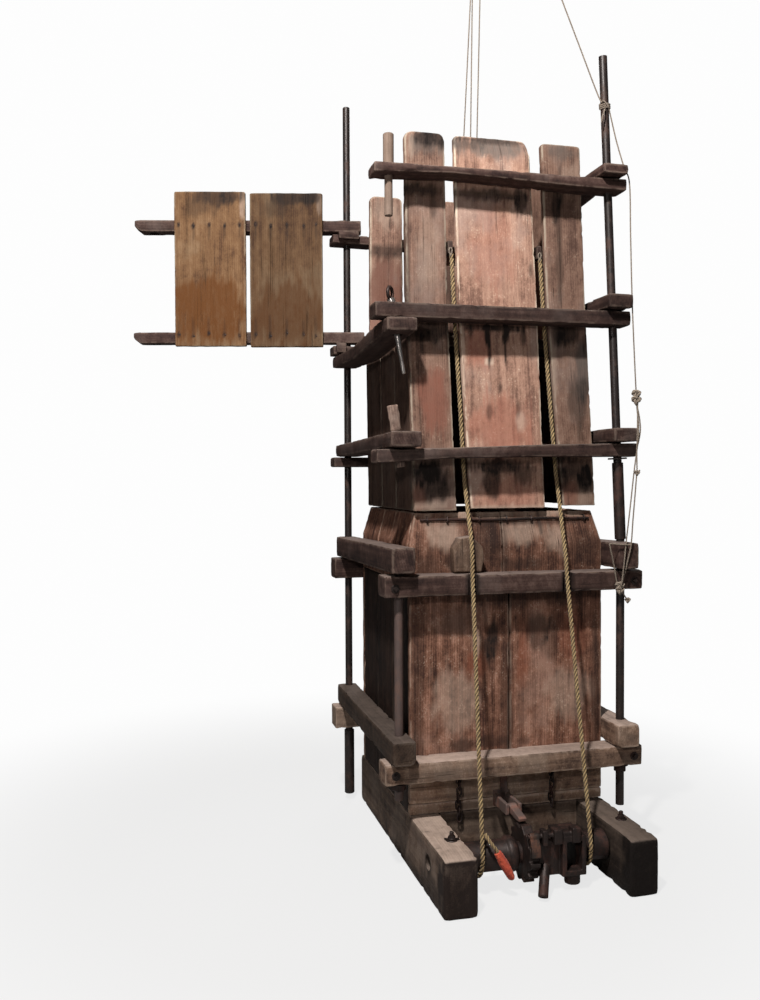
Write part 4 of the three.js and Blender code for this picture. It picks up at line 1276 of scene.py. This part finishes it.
def build_guide_block():
    """The block on the front rail with a groove for the left rope."""
    outline = [(-222, 1057), (-122, 1057), (-112, 1100), (-118, 1145), (-160, 1184), (-205, 1178),
               (-226, 1140)]
    block = piece("guide_block", plate(outline, "y", (-422, -372), edge=5, tone=-1.2), BASE_RAIL_WOOD, "root",
                  ("rope_guide_block",))
    bevel = block.modifiers.new("bevel", "BEVEL")
    bevel.width = 4 * MM
    bevel.segments = 3
    apply_modifiers(block)
    bored(block, [((-167, -434, 1200), (-167, -446, 1040), 13)])


def build_packing_blocks():
    """Small blocks on the back rails, which the filling door rests on."""
    shells = [
        plank("packing_upper", "x", [(-468, 338, 361, 2390, 2424), (-383, 338, 361, 2390, 2424)], wear=3),
        plank("packing_lower", "x", [(-480, 338, 361, 1914, 1956), (-440, 338, 361, 1914, 1956)], wear=3),
    ]
    piece("packing_blocks", shells, RAIL_WOOD)


build_rails()
build_rail_bolts()
build_guide_block()
build_packing_blocks()


# Rods and pins

def right_rod_at(z):
    top_x, top_z = RIGHT_ROD_TOP
    return ROD_X + (top_x - ROD_X) * (z - ROD_KINK_Z) / (top_z - ROD_KINK_Z)


def right_rod(y, foot_z, top_z):
    route = [(ROD_X, y, foot_z), (ROD_X, y, 700), (ROD_X, y, 1120), (right_rod_at(1200), y, 1200),
             (right_rod_at(2000), y, 2000), (right_rod_at(top_z), y, top_z)]
    return rod_along(route, 40, ROD_RADIUS, 28)


def rod_nut(x, y, z):
    """A washer and a nut under a rail."""
    washer = turned((x, y, z), (x, y, z - 4), [(0, 30), (4, 30)], sides=28)
    return [washer, nut((x, y, z - 4), (0, 0, -1), across=44, height=22)]


def build_rods():
    rear_left = [bar((-ROD_X, ROD_Y, 29), (-ROD_X, ROD_Y, 305), 21, chamfer=3),
                 bar((-ROD_X, ROD_Y, 300), (-ROD_X, ROD_Y, LEFT_ROD_TOP_Z), ROD_RADIUS, chamfer=2.5)]
    piece("rear_left_rod", rear_left, ROD_IRON, "root", ("rod_rear_left",))
    front_left = bar((-ROD_X, -ROD_Y, 272), (-ROD_X, -ROD_Y, 1152), ROD_RADIUS)
    # painted light: the front left rod gets the lighter iron, partly because it stands in the light
    piece("front_left_rod", front_left, LIT_RUSTY_ROD_IRON, "root", ("rod_front_left",))
    sleeve = bar((ROD_X, -ROD_Y, 1160), (right_rod_at(1440), -ROD_Y, 1440), 20, chamfer=2)
    washer = turned((right_rod_at(1452), -ROD_Y, 1452), (right_rod_at(1458), -ROD_Y, 1458),
                    [(0, 34), (5, 34), (6, 32)])
    piece("front_right_rod", [right_rod(-ROD_Y, 181, RIGHT_ROD_TOP[1]), washer], ROD_IRON, "root",
          ("rod_front_right",))
    piece("rod_sleeve", sleeve, CAST_IRON)
    piece("rear_right_rod", right_rod(ROD_Y, 60, REAR_RIGHT_ROD_TOP_Z), ROD_IRON, "root", ("rod_rear_right",))
    nuts = rod_nut(-ROD_X, -ROD_Y, 332) + rod_nut(ROD_X, -ROD_Y, 332) + rod_nut(ROD_X, ROD_Y, 316)
    piece("rod_nuts", nuts, CAST_IRON)


def build_pins():
    top = PINS["top"]
    shank = bar(top["foot"], pin_point(top, 2449), 14, chamfer=2, step=30)
    grip = bar(pin_point(top, 2447.2), top["head"], 18.5, chamfer=3, step=30)
    piece("turned_pin", [shank, grip], DOWEL_WOOD, "pin_top", ("pin_top",))
    low = PINS["bottom"]
    shank = bar(low["foot"], pin_point(low, 1549), 15, chamfer=2, step=20, rough=0.6, name="bark_shank")
    grip = bar(pin_point(low, 1547), low["head"], 18.6, chamfer=3, step=6, rough=2.6, name="bark_grip")
    piece("bark_pin", [shank, grip], BARK, "pin_bottom", ("pin_bottom",), sharp=70)
    middle = PINS["middle"]
    shank = bar(middle["foot"], middle["head"], 6, end_radius=14.5, chamfer=2, step=30)
    eye_turn = math.radians(-38)
    eye_way = (math.cos(eye_turn), math.sin(eye_turn), 0)
    eye_route = ring_of((middle["head"][0] - 3, middle["head"][1], 2018), 20, eye_way, steps=40)[:-1]
    eye = swept(eye_route, round_section(6), closed=True)
    piece("eye_pin", shank, WORN_STEEL, "pin_middle", ("pin_middle",))
    piece("pin_eye", eye, CAST_IRON, "pin_middle")


build_rods()
build_pins()


# Filling door, built along +X from its hinge rod

DOOR_WIDTH = (-38, 36)
DOOR_RAILS = {"upper": (-60, 890, 2426, 2476), "lower": (-73, 899, 1958, 2006)}
DOOR_BOARDS = {"inner": (100, 405, 1940, 2579.5), "outer": (422, 720, 1943, 2585.5)}  # left, right, foot, top
DOOR_TONES = {"inner": -1.3, "outer": -0.1}
# painted shadow: how strongly the lower half of each door board is made warmer and darker, partly a painted
# cast shadow and partly warmer wood
DOOR_LOW_WARMTH_AND_SHADOW = {"inner": 0.7, "outer": 0.9}
# X of the nails in each row
NAILS = {"inner": (128, 180, 250, 318, 380), "outer": (448, 510, 575, 640, 700)}


def door_marks(name):
    """Stains of one door board, a warmer and darker lower half that is partly a painted cast shadow, and a
    dark spot and a streak at each nail.
    """
    left, right, _, _ = DOOR_BOARDS[name]
    middle = (left + right) / 2
    marks = [("dark", middle - 30, 2568, 120, 44, 0.65), ("dark", middle + 40, 2530, 70, 60, 0.4),
             ("warm", middle, 2080, 190, 150, DOOR_LOW_WARMTH_AND_SHADOW[name]),
             ("pale", left + 14, 2540, 12, 60, 0.4), ("dark", left + 60, 2560, 70, 26, 0.5)]
    for index, x in enumerate(NAILS[name]):
        marks.append(("dark", x, 2448 - 5 * (index % 2), 7, 13, 0.85))
        marks.append(("dark", x, 2420, 6, 42, 0.35))
        marks.append(("dark", x + 4, 1984 + 6 * (index % 3), 7, 12, 0.7))
        marks.append(("dark", x + 4, 2018, 6, 46, 0.28))
    return marks


def build_door():
    boards_near = DOOR_WIDTH[1] + 0.3
    boards_far = boards_near + 25
    for name, (near, far, low, high) in DOOR_RAILS.items():
        stations = [(near, *DOOR_WIDTH, low, high), (far - 26, *DOOR_WIDTH, low, high),
                    (far, DOOR_WIDTH[0], DOOR_WIDTH[1], low + 20, high - 3)]
        made = plank(f"door_{name}_rail", "x", stations, **rail_style("a"))
        rail = piece(f"door_{name}_rail", made, RAIL_WOOD, "door", (f"door_rail_{name}",), turn=DOOR)
        holes = [(DOOR @ Vector((x, 0, low - 30)), DOOR @ Vector((x, 0, high + 30)), radius)
                 for x, radius in ((0, ROD_RADIUS + 1.5), (813, 19))]
        bored(rail, holes)
    for name, (left, right, foot, top) in DOOR_BOARDS.items():
        stations = [(z, left, right, boards_near, boards_far) for z in (foot, top)]
        board = plank(f"door_{name}", "z", stations, mesh_step=(6, 9), marks=door_marks(name), wear=2,
                      tone=DOOR_TONES[name], crowns=(0, 7))
        piece(f"door_{name}_board", board, DOOR_WOOD, "door", (f"door_board_{name}",), turn=DOOR)
    heads = [nail_head((x, boards_far, z), (0, 1, 0)) for row in NAILS.values() for index, x in enumerate(row)
             for z in (2450 - 5 * (index % 2), 1984 + 6 * (index % 3))]
    heads += [nail_head((x, DOOR_WIDTH[0], z), (0, -1, 0)) for x in (180, 330, 500, 650)
              for z in (2450, 1982)]
    piece("door_nails", heads, CAST_IRON, "door", turn=DOOR)


build_door()


# Platen

PLATEN_WIDTH = (-317.5, 254.5)
POST_X = (-210, 128)


def build_platen():
    """The board on its two posts, the arms out through the slots and the beam that the lift cords hold."""
    board_top = PLATEN_Z + 40
    arm_top = YOKE_Z + 46
    spans = board_row("platen", -PLATEN_HALF_DEPTH, PLATEN_HALF_DEPTH, 4, gap=2)
    # painted shade: the platen's boards get a tone of -4, as they stand in the dark inside the box
    shells = [plank(f"platen_{k}", "x", [(x, *span, PLATEN_Z, board_top) for x in PLATEN_WIDTH],
                    corner=3, tone=-4) for k, span in enumerate(spans)]
    shells += [plank(f"platen_post_{k}", "z", [(z, x - 22, x + 22, -40, 40) for z in (board_top - 1, YOKE_Z)])
               for k, x in enumerate(POST_X)]
    shells.append(plank("lift_beam", "x", [(x, -40, 40, arm_top, arm_top + 60) for x in (-240, 160)]))
    piece("platen_boards", shells, BOX_WOOD, "platen", ("platen",))
    arms = [plank(f"platen_arm_{k}", "y", [(y, x - 9, x + 9, YOKE_Z, arm_top) for y in (-346, 45)],
                  corner=2, rounding=2, wear=1, tone=-1.0) for k, x in enumerate(POST_X)]
    piece("platen_arms", arms, RAIL_WOOD, "platen")
    loops = []
    for x in (-209, 130):
        route = [(x - 3, -350, YOKE_Z - 8), (x - 7, -351, YOKE_Z + 4), (x - 8, -351, YOKE_Z + 12),
                 (x - 4, -350, YOKE_Z + 19), (x, -350, YOKE_Z + 19), (x + 3, -351, YOKE_Z + 12),
                 (x + 2, -351, YOKE_Z + 3), (x - 3, -352, YOKE_Z - 12)]
        loops.append(laid(route, 5.5)[0])
    piece("rope_loops", loops, CORD_FIBRE, "platen", sharp=70)
    stoppers = [laid(knot((x, 0, arm_top + 63), 9), CORD_DIAMETER, per_strand=4)[0] for x, _ in LIFT_CORDS]
    piece("cord_knots", stoppers, CORD_FIBRE, "platen", sharp=70)


build_platen()


# Skids and windlass

SKID_MARKS = [
    ("dark", -765, 60, 70, 300, 1.0), ("dark", -620, 20, 170, 90, 0.7), ("dark", -300, -10, 420, 60, 0.6),
]
SKID_TONES = {"left": 0.1, "right": -2.4}


def build_skids():
    for side, across in SKIDS.items():
        tops = ((SKID_ENDS[0], 189), (-715, SKID_TOP), (SKID_ENDS[1], SKID_TOP))
        stations = [(y, *across, 0, top) for y, top in tops]
        made = plank(f"skid_{side}_wood", "y", stations, corner=7, rounding=10, wear=4.5, mesh_step=(14, 18),
                     bow=0.8, marks=SKID_MARKS, marks_on=1, tone=SKID_TONES[side])
        skid = piece(f"skid_{side}_wood", made, SKID_WOOD, "root", (f"skid_{side}",))
        outside = -400 if side == "left" else 250
        bored(skid, [((outside, SHAFT_Y, SHAFT_Z), (outside + 160, SHAFT_Y, SHAFT_Z), 26)])
    shells = []
    for x, y in ((-296, -599), (336, -571)):
        shells.append(turned((x, y, 191), (x, y, 197), [(0, 20), (4, 20), (6, 18)], sides=24))
        shells.append(nut((x, y, 196), (0, 0, 1), across=24, height=13, sides=6))
        shells.append(bar((x, y, 200), (x, y, 222), 7.5, chamfer=2, sides=16))
    wire = [(-318, -590, 197), (-300, -612, 201), (-276, -604, 199), (-270, -588, 197)]
    shells.append(rod_along(wire, 4, 3))
    piece("skid_bolts", shells, CAST_IRON)


DRUM_PROFILE = [  # (x, radius) along the shaft
    (-352, 20), (-350, 24), (-254, 24), (-252, 40), (-248, 50), (-108, 50), (-104, 51.5), (-100, 56),
    (-94, 59), (-84, 59), (-76, 57.5), (-70, 53), (-64, 40), (-60, 36), (-49.5, 36), (-48.5, 26),
    (-11.5, 26), (-11, 24), (168, 24), (168.5, 44), (172, 50), (258, 50), (261.5, 44), (262, 24), (372, 24),
    (374, 21),
]
DRUM_RADIUS = 50


def build_drum():
    """The shaft with its barrels, and the half turn of each rope round them, which stays still."""
    start = Vector((DRUM_PROFILE[0][0], SHAFT_Y, SHAFT_Z))
    profile = [(x - start.x, radius) for x, radius in DRUM_PROFILE]
    made = turned(start, start + Vector((1, 0, 0)), profile, sides=56)
    piece("drum_casting", made, CAST_IRON, "windlass", ("windlass_drum",))
    shells = []
    for x, rise in ((-203, -15), (185, 15)):
        route = ring_of((x, SHAFT_Y, SHAFT_Z), DRUM_RADIUS + 8.6, (1, 0, 0), turns=0.55, rise=rise, steps=28)
        shells.append(laid(route, ROPE_DIAMETER)[0])
    piece("rope_turns", shells, ROPE_FIBRE, sharp=70)


def build_rope_tail():
    """The loose end of the left rope, bound with red twine."""
    tail = [(-189, -628, 214), (-184, -646, 200), (-172, -653, 182), (-160, -655, 166), (-150, -655, 148)]
    piece("rope_tail", laid(tail, 14)[0], ROPE_FIBRE, sharp=70)
    spindle = []
    for k in range(53):
        share = k / 52
        body = 8.5 + 6.5 * math.sin(math.pi * min(1, 0.12 + 0.8 * share)) ** 0.8
        spindle.append((2 * k, body + 0.9 * math.sin(2.4 * k)))
    spindle += [(108, 6.5), (109, 3)]
    binding = turned((-157, -655, 160), (-104, -655, 66), spindle, sides=28, rough=1.6, name="binding")
    piece("tail_binding", binding, WHIPPING, sharp=70)


def build_lever_pocket():
    """A near-black sheet inside the lever's socket: painted shade in its deep pocket."""
    outline = [(89, 75), (141, 75), (141, 171), (89, 171)]
    piece("lever_pocket_shade", plate(outline, "y", (-616, -613), edge=0.8), POCKET_SHADE_IRON, "lever")


def build_chain(name, x, y, low, high):
    """Round-link chain that hangs behind a rope."""
    shells = []
    pitch = 23
    half = 13
    wide = 8.5
    for k in range(int((high - low) / pitch)):
        centre = Vector((x + 3 * math.sin(1.3 * k), y, high - pitch * (k + 0.5)))
        flip = k % 2 == 0
        loop = []
        for step in range(20):
            angle = 2 * math.pi * step / 20
            across = wide * math.cos(angle)
            along = half * math.sin(angle) + (4 if math.sin(angle) > 0 else -4)
            loop.append(centre + Vector((across if flip else 0, 0 if flip else across, along)))
        shells.append(swept(loop, round_section(3.2, 8), closed=True))
    shells.append(nail_head((x, y + 22, high - 2), (0, -1, 0), 7))
    piece(name, shells, CAST_IRON)


build_skids()
build_drum()
build_rope_tail()
cast("ratchet_casting", "ratchet_wheel", 2.2, CAST_IRON, "windlass")
cast("lever_casting", "lever_socket", 2.4, CAST_IRON, "lever")
build_lever_pocket()
cast("driving_pawl_casting", "driving_pawl", 1.6, STRAP_IRON, "drive_pawl")
cast("holding_pawl_casting", "holding_pawl", 1.6, PALE_IRON, "hold_pawl")
cast("bracket_casting", "pawl_bracket", 1.6, PALE_IRON, "root")
build_chain("chain_left", -196, -380, 165, 330)
build_chain("chain_right", 160, -380, 190, 330)


# Light, floor and background

BACKDROP = 0.985
FLOOR_REACH = 40


def add_area(name, where, target, size, power, colour):
    """A round lamp that points at a target. Its size is in metres and its power in watts."""
    data = bpy.data.lights.new(name, "AREA")
    data.shape = "DISK"
    data.size = size
    data.energy = power
    data.color = colour
    light = linked(name, data)
    light.location = place(*where)
    light.rotation_euler = (place(*target) - light.location).to_track_quat("-Z", "Y").to_euler()


def build_stage():
    """A plain pale floor that runs into a plain pale background."""
    world = bpy.data.worlds.new("studio")
    bpy.context.scene.world = world
    tree = cleared_tree(world)
    seen = add_node(tree, "LightPath").outputs["Is Camera Ray"]
    around = add_node(tree, "Background", {"Color": (0.93, 0.95, 1.0, 1), "Strength": 0.025})
    behind = add_node(tree, "Background", {"Color": (1, 1, 1, 1), "Strength": BACKDROP})
    both = add_node(tree, "MixShader", {0: seen, 1: around.outputs[0], 2: behind.outputs[0]})
    add_node(tree, "OutputWorld", {0: both.outputs[0]})
    floor_mesh = bpy.data.meshes.new("floor")
    floor_mesh.from_pydata([(FLOOR_REACH * x, FLOOR_REACH * y, 0) for x, y in SQUARE], [], [(0, 1, 2, 3)])
    floor = linked("floor", floor_mesh)
    material = bpy.data.materials.new("floor")
    tree = cleared_tree(material)
    seen = add_node(tree, "LightPath").outputs["Is Camera Ray"]
    lit = add_node(tree, "BsdfDiffuse", {"Color": (0.36, 0.355, 0.35, 1)})
    glow = add_node(tree, "Emission", {"Color": (1, 1, 1, 1), "Strength": BACKDROP})
    away = add_node(tree, "VectorMath", {0: add_node(tree, "TexCoord").outputs["Object"]}, operation="LENGTH")
    plain = step_up(tree, away.outputs["Value"], 0.9, 2.6)
    shown = maths(tree, "MULTIPLY", seen, maths(tree, "MULTIPLY_ADD", plain, 0.22, 0.78))
    both = add_node(tree, "MixShader", {0: shown, 1: lit.outputs[0], 2: glow.outputs[0]})
    add_node(tree, "OutputMaterial", {0: both.outputs[0]})
    floor_mesh.materials.append(material)


build_stage()
add_area("key", (-1500, -2450, 4430), (-60, -300, 1350), 0.22, 240, (1.0, 0.965, 0.93))
add_area("side", (-2350, -3400, 2250), (0, -300, 900), 0.2, 30, (1.0, 0.97, 0.94))
add_area("fill", (1800, -3600, 1700), (0, 0, 1100), 2.4, 3, (0.95, 0.97, 1.0))
add_area("rim", (900, 2900, 3600), (0, 0, 1500), 1.6, 40, (1.0, 0.98, 0.96))
bpy.context.scene.view_settings.view_transform = "Standard"
